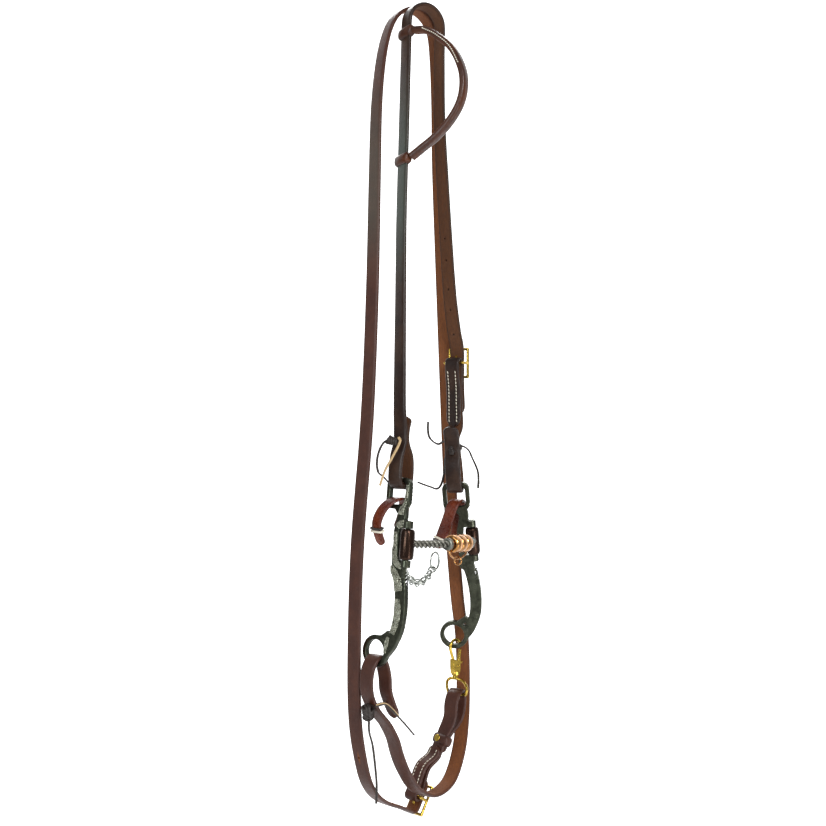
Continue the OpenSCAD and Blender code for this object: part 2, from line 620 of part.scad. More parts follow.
// The rein buckle's bar, with its out, along-the-bar and incoming directions
rein_bar = xyz(placed([18, 26.4, -797, 0]));
in_way = unit([-0.54, 0.127, -0.83]);
bar_level = [0.229, 0.974, 0];
bar_way = unit(bar_level - (bar_level * in_way) * in_way);
out_way = cross(in_way, bar_way);
bar_turn = 13.2;
function at_rein_bar(out, along, turn = bar_turn) =
    let (p = rein_bar + out_way * out + in_way * along) [p.x, p.y, p.z, turn];
module at_rein_buckle() {
    multmatrix([
        [out_way.x, -bar_way.x, in_way.x, rein_bar.x],
        [out_way.y, -bar_way.y, in_way.y, rein_bar.y],
        [out_way.z, -bar_way.z, in_way.z, rein_bar.z]
    ]) children();
}
// The billet end of the rein, which turns up through the buckle and lies along the snap strap
function billet_route() = concat(
    [let (p = rein_path()[len(rein_route)]) [p.x + 2.8, p.y + 0.3, p.z - 1.2, p[3]]],
    [at_rein_bar(billet_out - 5, 15.5), at_rein_bar(billet_out - 0.6, 12.4), at_rein_bar(billet_out, 5),
    at_rein_bar(billet_out, -8), at_rein_bar(billet_out - 0.6, -20)]
);
d_bar = xyz(placed([73.5, 5.2, -702, 0]));
keeper_mid = xyz(placed([52, 12.4, -746, 0]));
keeper_way = unit([0.4, -0.2, 0.9]);
keeper_turn = 15;
function at_keeper(out, up) = let (
    a = level_across(keeper_turn, keeper_way),
    p = keeper_mid + cross(a, keeper_way) * out + keeper_way * up
) [p.x, p.y, p.z, keeper_turn];
function near_d(x, z, turn = 0) = [d_bar.x + x, d_bar.y - x * 0.05, d_bar.z + z, turn];
d_fold = hook_wire / 2 + 0.5 + strap_t / 2;
// Both layers of the snap strap: the part stitched round the buckle's bar, and the loop in the swivel's eye
function snap_route() = concat(
    [at_keeper(-layer - 0.1, -8), at_keeper(-layer - 0.4, -18), at_rein_bar(-chape_r - 1, -30),
        at_rein_bar(-chape_r, -9)],
    [for (a = [180:-30:0]) at_rein_bar(chape_r * cos(a), chape_r * sin(a))],
    [at_rein_bar(chape_r, -9), at_rein_bar(chape_r - 3, -30), at_keeper(-0.3, -18),
        at_keeper(0, -8), at_keeper(0, 7)],
    [near_d(-14.6, -22, 8), near_d(-12, -8, 2), near_d(-7, 1),
        near_d(-d_fold * 0.7, d_fold * 0.7), near_d(0, d_fold),
        near_d(d_fold, 0.6), near_d(4.4, -12), near_d(-1, -26, 8)],
    [at_keeper(layer + 0.1, 6), at_keeper(layer, -6), at_keeper(layer, -13)]
);
module snap_strap() {
    color(dark_leather) difference() {
        strap(snap_route(), 3);
        at_rein_buckle() chape_slot();
    }
}
keeper_in = 2 * strap_t + 1;
keeper_wall = 1.8;
module at_keeper_mid() { on_strap(xyz(at_keeper(layer / 2, 0)), keeper_way, keeper_turn) children(); }
module snap_keeper() {
    color(dark_leather) at_keeper_mid() difference() {
        cube([keeper_in + 2 * keeper_wall, strap_w + 1.2 + 2 * keeper_wall, 10], center = true);
        cube([keeper_in, strap_w + 1.2, 40], center = true);
        translate([-keeper_in / 2, 2, 0]) rotate([0, -90, 0]) cylinder(r = 1.84, h = 9);
    }
}
module keeper_screw() {
    color(brass) at_keeper_mid() translate([-keeper_in / 2 - keeper_wall - 0.02, 2, 0]) rotate([0, -90, 0]) {
        cylinder(r = 3.5, h = 1.3);
        translate([0, 0, -1.6]) cylinder(r = 1.8, h = 1.7);
    }
}

// ---- snap ----
hook_at = on_shank(1, 0, ring_back, -ring_drop - ring_mid_r);
snap_turn = -15;
hook_mid = hook_r + hook_wire / 2;
pivot_z = -20;
pivot_r = 1.5;
snap_thick = 5.6;
module at_snap() {
    translate(hook_at) rotate([0, 0, snap_turn]) translate([0, 0, -1.2]) children();
}
module snap_body() {
    color(brass) at_snap() difference() {
        union() {
            rotate([90, 0, 0]) rotate_extrude(angle = 200) translate([hook_mid, 0])
                circle(d = hook_wire, $fn = 24);
            rod([-hook_mid * cos(20), 0, -hook_mid * sin(20)], [-3.4, 0, -13], hook_wire);
            rotate([90, 0, 0]) linear_extrude(height = snap_thick, center = true)
                polygon([[-5.6, -12.2], [-2, -12.8], [2, -15], [5.4, -18], [5.4, -23],
                    [4.3, -27.6], [-4.3, -27.6], [-5.4, -22]]);
            translate([0, 0, -29.4]) cylinder(r = 4.4, h = 4);
        }
        // slot for the trigger, and the swivel's bore
        translate([3.2, 0, -18.4]) cube([12, 3.2, 12.8], center = true);
        translate([1.6, 0, pivot_z]) rotate([90, 0, 0]) cylinder(r = pivot_r, h = 20, center = true);
        translate([0, 0, -32]) cylinder(r = 2 + run_gap, h = 5);
        translate([0, 0, -27.4]) cylinder(r = 3.2, h = 2.2);
    }
}
module snap_trigger() {
    color(brass) at_snap() difference() {
        rotate([90, 0, 0]) linear_extrude(height = 2.6, center = true) polygon([
            [-0.6, -22.4], [3.4, -22.4], [4.4, -20], [9.6, -17.8], [10.2, -16], [7, -16.4],
            [6.6, -12], [8.2, -3.4], [6.2, -3], [4.2, -12], [1.8, -17.4], [-0.6, -18.4]
        ]);
        translate([1.6, 0, pivot_z]) rotate([90, 0, 0])
            cylinder(r = pivot_r + run_gap, h = 9, center = true);
    }
}
module snap_trigger_pin() {
    color(brass) at_snap() translate([1.6, 0, pivot_z]) rotate([90, 0, 0])
        cylinder(r = pivot_r, h = snap_thick, center = true);
}
module snap_spring() {
    color(chain_colour) at_snap() translate([-1.7, 0, pivot_z]) cylinder(r = 0.7, h = 3.4, center = true);
}
module snap_swivel() {
    half = strap_w / 2 + 0.9 + hook_wire / 2;
    base = hook_at + [0, 0, -34.6];
    color(brass) {
        at_snap() {
            translate([0, 0, -26.9]) cylinder(r = 2.9, h = 1.4);
            translate([0, 0, -34]) cylinder(r = 2, h = 8);
            translate([0, 0, -33.6]) cylinder(r1 = 3.6, r2 = 3, h = 3.6);
        }
        for (s = [-1, 1]) {
            tube([for (p = [base, base + [0.3, s * half * 0.8, -1.6],
                [d_bar.x - 0.6, d_bar.y + s * (half + 1.4), base.z - 7],
                d_bar + [0, s * half, 0]]) [p.x, p.y, p.z, 90]], hook_wire, 3, 0);
        }
        rod(d_bar - [0, half, 0], d_bar + [0, half, 0], hook_wire);
    }
}

crown_strap();
ear_piece();
far_cheek_strap();
at_cheek_buckle() buckle_frame();  // cheek_buckle_frame
at_cheek_buckle() buckle_tongue();  // cheek_buckle_tongue
near_bit_lace();
far_bit_lace();
near_lace_ends();
far_lace_ends();
shank(-1);  // near_shank
shank(1);  // far_shank
overlays(-1);  // near_overlays
overlays(1);  // far_overlays
hinge_pin(-1);  // near_hinge_pin
hinge_pin(1);  // far_hinge_pin
sleeve(-1);  // near_sleeve
sleeve(1);  // far_sleeve
mouth_bar(-1);  // near_mouth_bar
mouth_bar(1);  // far_mouth_bar
mouth_collars();
mouth_axle();
roller(0);  // roller_1
roller(1);  // roller_2
roller(2);  // roller_3
copper_bail();
copper_key();
curb_strap(curb_route_near);  // near_curb_strap
curb_strap(curb_route_far);  // far_curb_strap
curb_tie(curb_route_near, 4);  // near_curb_tie
curb_tie(curb_route_far, 25);  // far_curb_tie
curb_ring(-1);  // near_curb_ring
curb_ring(1);  // far_curb_ring
curb_chain();
rein();
rein_billet();
rein_ring_loop();
rein_lace();
rein_lace_ends();
snap_strap();
snap_keeper();
keeper_screw();
at_rein_buckle() buckle_frame();  // rein_buckle_frame
at_rein_buckle() buckle_tongue();  // rein_buckle_tongue
snap_body();
snap_trigger();
snap_trigger_pin();
snap_spring();
snap_swivel();
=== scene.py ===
"""A one-ear western bridle hanging from a bracket that isn't shown: straps, laces, curb bit, curb chain and rein."""

import math
import random

import bmesh
import bpy
from mathutils import Matrix, Vector, noise


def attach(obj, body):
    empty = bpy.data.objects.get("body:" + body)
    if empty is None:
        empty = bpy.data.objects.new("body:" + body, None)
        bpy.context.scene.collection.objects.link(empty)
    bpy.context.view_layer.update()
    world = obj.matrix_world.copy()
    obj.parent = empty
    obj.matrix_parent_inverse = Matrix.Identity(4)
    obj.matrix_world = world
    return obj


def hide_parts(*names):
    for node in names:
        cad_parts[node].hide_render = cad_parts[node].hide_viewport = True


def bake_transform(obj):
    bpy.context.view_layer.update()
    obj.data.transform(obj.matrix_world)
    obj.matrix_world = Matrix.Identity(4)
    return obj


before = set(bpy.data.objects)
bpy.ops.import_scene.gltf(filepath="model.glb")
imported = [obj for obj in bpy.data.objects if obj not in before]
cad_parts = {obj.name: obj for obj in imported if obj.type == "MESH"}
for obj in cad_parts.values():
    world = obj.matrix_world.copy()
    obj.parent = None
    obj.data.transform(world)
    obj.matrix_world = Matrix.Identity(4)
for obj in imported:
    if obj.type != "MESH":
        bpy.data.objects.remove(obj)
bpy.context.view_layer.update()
random.seed(11)

MM = 0.001
STRAP_W = 15.9
STRAP_T = 3.6
CURB_W = 12.0
CURB_T = 3.0
LACE_D = 2.6


# ---- camera, light and floor ----

def place_camera():
    camera = bpy.data.objects.new("camera", bpy.data.cameras.new("camera"))
    bpy.context.collection.objects.link(camera)
    camera.data.lens = 49.9
    camera.data.sensor_width = 36.0
    camera.location = (-0.9941, -0.5696, -0.405)
    camera.rotation_euler = (math.radians(90), 0, math.radians(-59.5))
    bpy.context.scene.camera = camera


def area_light(name, place, target, size, power, tint=(1, 1, 1)):
    light = bpy.data.lights.new(name, "AREA")
    light.energy = power
    light.size = size
    light.color = tint
    lamp = bpy.data.objects.new(name, light)
    bpy.context.collection.objects.link(lamp)
    lamp.location = place
    lamp.rotation_euler = (Vector(target) - Vector(place)).to_track_quat("-Z", "Y").to_euler()


def light_studio():
    world = bpy.data.worlds.new("studio")
    bpy.context.scene.world = world
    world.use_nodes = True
    background = world.node_tree.nodes["Background"]
    background.inputs["Color"].default_value = (0.95, 0.97, 1, 1)
    background.inputs["Strength"].default_value = 0.42
    middle = (0, 0, -0.4)
    area_light("key", (-1.3, -1.5, 0.5), middle, 0.6, 30)
    area_light("window", (-1.7, 0.2, -0.1), middle, 0.7, 14, (0.86, 0.96, 1))
    area_light("low", (-0.4, -1.5, -1.0), middle, 0.5, 9)
    area_light("rim", (0.9, 0.5, 0.4), middle, 0.7, 14)


def stand_up(name, size, place, turn, colour, glow):
    """A plain studio surface: the floor or the backdrop."""
    bpy.ops.object.select_all(action="DESELECT")
    bpy.ops.mesh.primitive_plane_add(size=size, location=place, rotation=turn)
    surface = bpy.context.object
    surface.name = name
    bpy.ops.object.mode_set(mode="EDIT")
    bpy.ops.mesh.subdivide(number_cuts=2)
    bpy.ops.object.mode_set(mode="OBJECT")
    bpy.ops.object.transform_apply(location=True, rotation=True, scale=True)
    paint = bpy.data.materials.new("matt_white_" + name)
    paint.use_nodes = True
    shader = paint.node_tree.nodes["Principled BSDF"]
    shader.inputs["Base Color"].default_value = colour
    shader.inputs["Roughness"].default_value = 0.9
    shader.inputs["Emission Color"].default_value = (1, 1, 1, 1)
    shader.inputs["Emission Strength"].default_value = glow
    surface.data.materials.append(paint)


def dress_studio():
    stand_up("floor", 12, (0, 0, -1.35), (0, 0, 0), (0.9, 0.9, 0.9, 1), 0.0)
    stand_up("backdrop", 5, (1.35, 0.79, -0.4), (math.radians(90), 0, math.radians(-59.5)), (0.8, 0.8, 0.8, 1), 1.0)


place_camera()
light_studio()
dress_studio()
bpy.context.scene.view_settings.view_transform = "Standard"


# ---- finishes ----

def linear(code):
    """An sRGB hex code as a linear colour."""
    parts = [int(code[i:i + 2], 16) / 255 for i in (1, 3, 5)]
    return [c / 12.92 if c <= 0.04045 else ((c + 0.055) / 1.055) ** 2.4 for c in parts] + [1.0]


def every(size):
    """The scale of a pattern whose marks are that many millimetres apart."""
    return 1000 / size


def add(tree, kind, settings=None, links=None):
    """A node with its settings and what feeds it; a number or a socket's name sets or feeds an input."""
    made = tree.nodes.new(kind)
    for key, value in (settings or {}).items():
        if isinstance(key, int) or key[0].isupper():
            made.inputs[key].default_value = value
        else:
            setattr(made, key, value)
    for key, source in (links or {}).items():
        tree.links.new(source, made.inputs[key])
    return made


def new_finish(name, colour, metallic, roughness):
    finish = bpy.data.materials.new(name)
    finish.use_nodes = True
    tree = finish.node_tree
    shader = tree.nodes["Principled BSDF"]
    shader.inputs["Base Color"].default_value = linear(colour)
    shader.inputs["Metallic"].default_value = metallic
    shader.inputs["Roughness"].default_value = roughness
    place = add(tree, "ShaderNodeTexCoord").outputs["Object"]
    return finish, tree, shader, place


def leather(name, grain, worn, flesh, roughness, reflection_colour="#4b5148", reflection_strength=0.0):
    """Bridle leather: a smooth waxed grain side, a burnished edge and a paler, napped flesh side, with a painted
    reflection in a band below the ear piece.
    """
    finish, tree, shader, place = new_finish(name, grain, 0.0, roughness)
    # handled patches about 25 mm across
    cloud = add(tree, "ShaderNodeTexNoise", {"Scale": every(25), "Detail": 5.0, "Roughness": 0.62}, {"Vector": place})
    patch = add(tree, "ShaderNodeMapRange", {"From Min": 0.4, "From Max": 0.7, "To Max": 0.85}, {"Value": cloud.outputs["Fac"]})
    face = add(tree, "ShaderNodeMix", {"data_type": "RGBA", 6: linear(grain), 7: linear(worn)}, {0: patch.outputs[0]})
    # a painted reflection: a grey band of sheen, 90 mm long, where the straps hang free below the ear piece
    split = add(tree, "ShaderNodeSeparateXYZ", {}, {0: place})
    rise = add(tree, "ShaderNodeMapRange", {"From Min": -0.285, "From Max": -0.21}, {"Value": split.outputs["Z"]})
    fall = add(tree, "ShaderNodeMapRange", {"From Min": -0.06, "From Max": -0.15}, {"Value": split.outputs["Z"]})
    band = add(tree, "ShaderNodeMath", {"operation": "MULTIPLY"}, {0: rise.outputs[0], 1: fall.outputs[0]})
    painted_reflection = add(tree, "ShaderNodeMath", {"operation": "MULTIPLY", 1: reflection_strength}, {0: band.outputs[0]})
    face = add(tree, "ShaderNodeMix", {"data_type": "RGBA", 7: linear(reflection_colour)}, {0: painted_reflection.outputs[0], 6: face.outputs[2]})
    # fibres of the flesh side, 1.2 mm apart and drawn out down the strap
    long = add(tree, "ShaderNodeMapping", {"Scale": (1.0, 1.0, 0.15)}, {"Vector": place})
    fibre = add(tree, "ShaderNodeTexNoise", {"Scale": every(1.2), "Detail": 4.0}, {"Vector": long.outputs[0]})
    nap = add(tree, "ShaderNodeMix", {"data_type": "RGBA", 6: linear(flesh), 7: linear(worn)}, {0: fibre.outputs["Fac"]})
    side = add(tree, "ShaderNodeAttribute", {"attribute_name": "strap_side"})
    edge = add(tree, "ShaderNodeAttribute", {"attribute_name": "strap_edge"})
    both = add(tree, "ShaderNodeMix", {"data_type": "RGBA"}, {0: side.outputs["Fac"], 6: nap.outputs[2], 7: face.outputs[2]})
    rim = add(tree, "ShaderNodeMath", {"operation": "MULTIPLY", 1: 0.6}, {0: edge.outputs["Fac"]})
    dark = add(tree, "ShaderNodeMix", {"data_type": "RGBA", 7: linear(grain)}, {0: rim.outputs[0], 6: both.outputs[2]})
    tree.links.new(dark.outputs[2], shader.inputs["Base Color"])
    # pebbled grain 1.4 mm across, coarser than the real one so that it shows, and fine creases
    pebble = add(tree, "ShaderNodeTexVoronoi", {"Scale": every(1.4)}, {"Vector": place})
    crease = add(tree, "ShaderNodeTexNoise", {"Scale": every(2.4), "Detail": 7.0, "Roughness": 0.7}, {"Vector": place})
    dull = add(tree, "ShaderNodeMapRange", {"To Min": 0.8, "To Max": roughness}, {"Value": side.outputs["Fac"]})
    uneven = add(tree, "ShaderNodeMapRange", {"From Min": 0.3, "From Max": 0.7, "To Min": -0.09, "To Max": 0.13},
                 {"Value": crease.outputs["Fac"]})
    rough = add(tree, "ShaderNodeMath", {"operation": "ADD"}, {0: dull.outputs[0], 1: uneven.outputs[0]})
    tree.links.new(rough.outputs[0], shader.inputs["Roughness"])
    fine = add(tree, "ShaderNodeBump", {"Strength": 0.25, "Distance": 0.0003}, {"Height": pebble.outputs["Distance"]})
    worked = add(tree, "ShaderNodeBump", {"Strength": 0.35, "Distance": 0.0006},
                 {"Height": crease.outputs["Fac"], "Normal": fine.outputs[0]})
    tree.links.new(worked.outputs[0], shader.inputs["Normal"])
    shader.inputs["Specular IOR Level"].default_value = 0.32
    return finish


def cast_metal(name, colour, tarnish, roughness, grit, depth, metallic=1.0):
    """Handled metal, tarnished in soft patches, with the unevenness its making left."""
    finish, tree, shader, place = new_finish(name, colour, metallic, roughness)
    # tarnish in patches about 7 mm across
    film = add(tree, "ShaderNodeTexNoise", {"Scale": every(7), "Detail": 6.0, "Roughness": 0.65}, {"Vector": place})
    amount = add(tree, "ShaderNodeMapRange", {"From Min": 0.42, "From Max": 0.72, "To Max": 0.85}, {"Value": film.outputs["Fac"]})
    shade = add(tree, "ShaderNodeMix", {"data_type": "RGBA", 6: linear(colour), 7: linear(tarnish)}, {0: amount.outputs[0]})
    tree.links.new(shade.outputs[2], shader.inputs["Base Color"])
    rough = add(tree, "ShaderNodeMapRange", {"From Min": 0.3, "From Max": 0.75, "To Min": roughness * 0.7,
                                             "To Max": roughness * 1.7}, {"Value": film.outputs["Fac"]})
    tree.links.new(rough.outputs[0], shader.inputs["Roughness"])
    skin = add(tree, "ShaderNodeTexNoise", {"Scale": every(grit), "Detail": 3.0}, {"Vector": place})
    bump = add(tree, "ShaderNodeBump", {"Strength": 0.45, "Distance": depth * MM}, {"Height": skin.outputs["Fac"]})
    tree.links.new(bump.outputs[0], shader.inputs["Normal"])
    return finish


def engraved_silver():
    """Sterling overlay cut by hand with curling scrolls, the cuts blackened by age."""
    finish, tree, shader, place = new_finish("engraved_sterling", "#c9c9b2", 0.9, 0.32)
    # scrolls about 8 mm across, each cut some 1.5 mm from the next, wandering by a few millimetres
    drift = add(tree, "ShaderNodeTexNoise", {"Scale": every(9), "Detail": 2.0}, {"Vector": place})
    bent = add(tree, "ShaderNodeMix", {"data_type": "VECTOR", 0: 0.035}, {4: place, 5: drift.outputs["Color"]})
    scroll = add(tree, "ShaderNodeTexWave", {"wave_type": "RINGS", "Scale": every(9), "Distortion": 8.0, "Detail": 2.0,
                                             "Detail Scale": 1.6}, {"Vector": bent.outputs[1]})
    leaf = add(tree, "ShaderNodeTexVoronoi", {"feature": "SMOOTH_F1", "Scale": every(3.2)}, {"Vector": bent.outputs[1]})
    line = add(tree, "ShaderNodeMapRange", {"From Max": 0.4}, {"Value": scroll.outputs["Fac"]})
    lobe = add(tree, "ShaderNodeMapRange", {"From Max": 0.6, "To Min": 1.0, "To Max": 0.45}, {"Value": leaf.outputs["Distance"]})
    height = add(tree, "ShaderNodeMath", {"operation": "MULTIPLY"}, {0: line.outputs[0], 1: lobe.outputs[0]})
    shade = add(tree, "ShaderNodeMix", {"data_type": "RGBA", 6: linear("#34352a"), 7: linear("#d2d2bc")}, {0: height.outputs[0]})
    tree.links.new(shade.outputs[2], shader.inputs["Base Color"])
    bump = add(tree, "ShaderNodeBump", {"Strength": 0.8, "Distance": 0.0006}, {"Height": height.outputs[0]})
    tree.links.new(bump.outputs[0], shader.inputs["Normal"])
    return finish


def spun(name, colour, shadow, roughness, fibre):
    """Thread or lace: fibres that catch light and shadow along the strand."""
    finish, tree, shader, place = new_finish(name, colour, 0.0, roughness)
    strands = add(tree, "ShaderNodeTexNoise", {"Scale": every(fibre), "Detail": 3.0}, {"Vector": place})
    shade = add(tree, "ShaderNodeMix", {"data_type": "RGBA", 6: linear(colour), 7: linear(shadow)}, {0: strands.outputs["Fac"]})
    tree.links.new(shade.outputs[2], shader.inputs["Base Color"])
    bump = add(tree, "ShaderNodeBump", {"Strength": 0.5, "Distance": 0.0003}, {"Height": strands.outputs["Fac"]})
    tree.links.new(bump.outputs[0], shader.inputs["Normal"])
    return finish


# Near-black waxed bridle leather: low dark shine, with a painted grey-green reflection in a band below the ear piece
HEADSTALL = leather("black_bridle_leather", "#20120c", "#3a271b", "#633a1c", 0.34, "#3f4a42", 0.75)
# Brown harness leather: darker waxed grain, tan napped flesh side, and a painted grey reflection in a band high on the
# rein
REIN = leather("brown_harness_leather", "#3b1f16", "#4f2c1f", "#8a5226", 0.42, "#4d4b42", 0.55)
# Dark brown strap leather, creased and shiny from the ear
EAR = leather("dark_brown_strap_leather", "#33190e", "#5a3018", "#5a3018", 0.32)
# Oiled latigo: red-brown with orange where it turns to the light
LATIGO = leather("red_latigo", "#4a1c10", "#7d3a20", "#6b3018", 0.27)
# Oiled lace cut from dark latigo: a dull dark strand
LACE = spun("dark_lace", "#2e221b", "#140d0a", 0.55, 0.6)
# Cut lace end, pale where the dye never reached
CREAM = spun("pale_lace", "#c9ad80", "#7a5c3a", 0.62, 0.6)
# Waxed linen harness thread: off-white, matt
THREAD = spun("linen_thread", "#ece6d6", "#b9ae98", 0.8, 0.35)
# Forged mild steel, heat-blacked: greenish black with a soft shine
IRON = cast_metal("blacked_mild_steel", "#4a4c40", "#22231c", 0.3, 6, 0.3, 0.95)
# Turned mild steel, browned: smooth tube with long highlights
SLEEVE = cast_metal("browned_mild_steel", "#3a2a22", "#1c1310", 0.22, 8, 0.1, 0.95)
# Drawn steel wire, handled: dull grey
WIRE = cast_metal("drawn_steel_wire", "#7e7c73", "#2f2d29", 0.32, 4, 0.1)
# Sterling overlay
SILVER = engraved_silver()
# Cast yellow brass, polished: yellow-green with cream highlights
BRASS = cast_metal("polished_cast_brass", "#d2b14e", "#8c6a24", 0.19, 8, 0.12)
# Turned copper: pinkish gold
COPPER = cast_metal("turned_copper", "#c08a52", "#5a381c", 0.2, 5, 0.12)
# Nickel-plated chain steel: bright grey
NICKEL = cast_metal("nickel_plated_steel", "#b8bbb6", "#74786f", 0.22, 6, 0.06)


# ---- the frame's own geometry, in millimetres ----

MOUTH_W = 134.0
DROP = 533.5
FAR_DROP = 9.0
EYE_BACK = 13.5
EYE_UP = 48.0
EYE_W = 19.5
EYE_H = 21.0
RING_WIRE = 4.4
RING_MID_R = 13.0
RING_DROP = 101.6
RING_BACK = 28.0
SHANK_T = 5.6
KNOT_UP = 97.0
LAYER = STRAP_T + 0.2
LEAN = {-1: math.radians(8), 1: math.radians(10)}
TOE = {-1: math.radians(8), 1: math.radians(20)}
HINGE = {s: Vector((s * MOUTH_W / 2, -17, -DROP - s * FAR_DROP / 2)) for s in (-1, 1)}
SHANK_TURN = {s: Matrix.Rotation(-s * LEAN[s], 3, "Y") @ Matrix.Rotation(s * TOE[s], 3, "Z") for s in (-1, 1)}


def on_shank(side, out, back, up):
    """A point of a shank: outward from its plane, back from the pin, up from the hinge's middle."""
    return HINGE[side] + SHANK_TURN[side] @ Vector((side * out, back, up))


def smooth(route, n):
    """Points along a smooth curve through a route of (x, y, z, turn), n to a stretch."""
    last = len(route) - 1
    out = []
    for i in range(last):
        a = Vector(route[max(i - 1, 0)][:3])
        b = Vector(route[i][:3])
        c = Vector(route[i + 1][:3])
        d = Vector(route[min(i + 2, last)][:3])
        long = (c - b).length
        tb = (c - a).normalized() * long
        tc = (d - b).normalized() * long
        for k in range(n):
            t = k / n
            p = b * (2 * t**3 - 3 * t**2 + 1) + tb * (t**3 - 2 * t**2 + t) + c * (3 * t**2 - 2 * t**3) + tc * (t**3 - t**2)
            out.append((p.x, p.y, p.z, route[i][3] * (1 - t) + route[i + 1][3] * t))
    out.append(tuple(route[last]))
    return out


def frame_at(points, i, lift=0.0):
    """Where the run is at a point, and its directions along, across and through."""
    here = Vector(points[i][:3])
    t = (Vector(points[min(i + 1, len(points) - 1)][:3]) - Vector(points[max(i - 1, 0)][:3])).normalized()
    turn = math.radians(points[i][3])
    level = Vector((math.sin(turn), math.cos(turn), lift))
    a = (level - level.dot(t) * t).normalized()
    return here, t, a, t.cross(a)


def crown_arc(angle):
    reach = 19.8 * math.cos(math.radians(angle))
    turn = math.radians(26.5)
    return (-2.4 + math.cos(turn) * reach, 2.4 - math.sin(turn) * reach, 19.8 * math.sin(math.radians(angle)) - 18, 26.5)


def cheek_at(z):
    top = crown_arc(180)
    down = top[2] - z
    return (top[0] - 0.115 * down, top[1] - 0.038 * down, z, 26.5)


FOLD_R = SHANK_T / 2 + (EYE_BACK + STRAP_W / 2) * math.sin(math.radians(8)) + 1.2 + STRAP_T / 2
FOLD_LOW = EYE_UP + EYE_H / 2 - 3 - STRAP_T / 2


def eye_loop(side):
    """A cheek strap's loop through the bit's eye, from its tail to above the lace."""
    f, low = FOLD_R, FOLD_LOW
    shape = [(-1.6, 122), (1.6, 109), (4.6 - LAYER, KNOT_UP), (-f + 2, KNOT_UP - 14), (-f, low + f + 1.5),
             (-f * 0.71, low + f * 0.29), (0, low), (f * 0.71, low + f * 0.29), (f, low + f + 1.5),
             (f - 0.6, KNOT_UP - 14), (4.8, KNOT_UP), (5.6, 109)]
    turn = -side * math.degrees(TOE[side])
    return [(*on_shank(side, out, EYE_BACK, up), turn) for out, up in shape]


CHEEK_BAR = Vector((49.5, -4, -353))
BAR_R = 1.5
CHAPE_R = BAR_R + 0.3 + STRAP_T / 2
BILLET_OUT = CHAPE_R + STRAP_T + 0.3
RAIL_OUT = BILLET_OUT + STRAP_T / 2 + 0.3 + BAR_R


def at_buckle(out, up, turn=0):
    return (CHEEK_BAR.x + out, CHEEK_BAR.y, CHEEK_BAR.z + up, turn)


CROWN_ROUTE = (
    eye_loop(-1)
    + [(-56.4, -2.6, -400, 16), (-53.6, -1.2, -352, 20), (-49.6, 0.6, -296, 24)]
    + [cheek_at(z) for z in (-215, -160, -100, -60, -36)]
    + [crown_arc(180 - 22.5 * i) for i in range(9)]
    + [(16, -5.6, -45, 25), (19.8, -3.6, -107, 20), (27.6, -2.6, -165, 15), (35.4, -2.5, -226, 12), (42.2, -3.4, -285, 7)]
    + [at_buckle(0.4, 33, 2), at_buckle(BILLET_OUT - 2, 20), at_buckle(BILLET_OUT, 10), at_buckle(BILLET_OUT, -10),
       at_buckle(BILLET_OUT + 0.4, -26), at_buckle(BILLET_OUT + 2.4, -54)]
)
EAR_ROUTE = [(-22.6, 0.2, -28.6, 90), (-24.6, -12, -31, 90), (-27, -26, -39, 90), (-29, -43.6, -54, 90),
             (-31, -55.4, -74, 90), (-32, -59, -91, 90), (-33, -56, -109, 90), (-34, -46, -125, 90),
             (-35, -31, -139, 90), (-37, -14, -150.6, 90), (-38.4, -5, -156.6, 90)]
FAR_CHEEK_ROUTE = (
    [at_buckle(-0.2, -66, -4), at_buckle(-0.6, -46), at_buckle(-1.2, -26), at_buckle(-CHAPE_R, -9)]
    + [at_buckle(CHAPE_R * math.cos(math.radians(a)), CHAPE_R * math.sin(math.radians(a))) for a in range(180, -1, -30)]
    + [at_buckle(CHAPE_R, -9), at_buckle(LAYER - 0.9, -26), at_buckle(LAYER - 0.2, -46), at_buckle(LAYER + 0.4, -66, -8)]
    + eye_loop(1)[::-1]
)

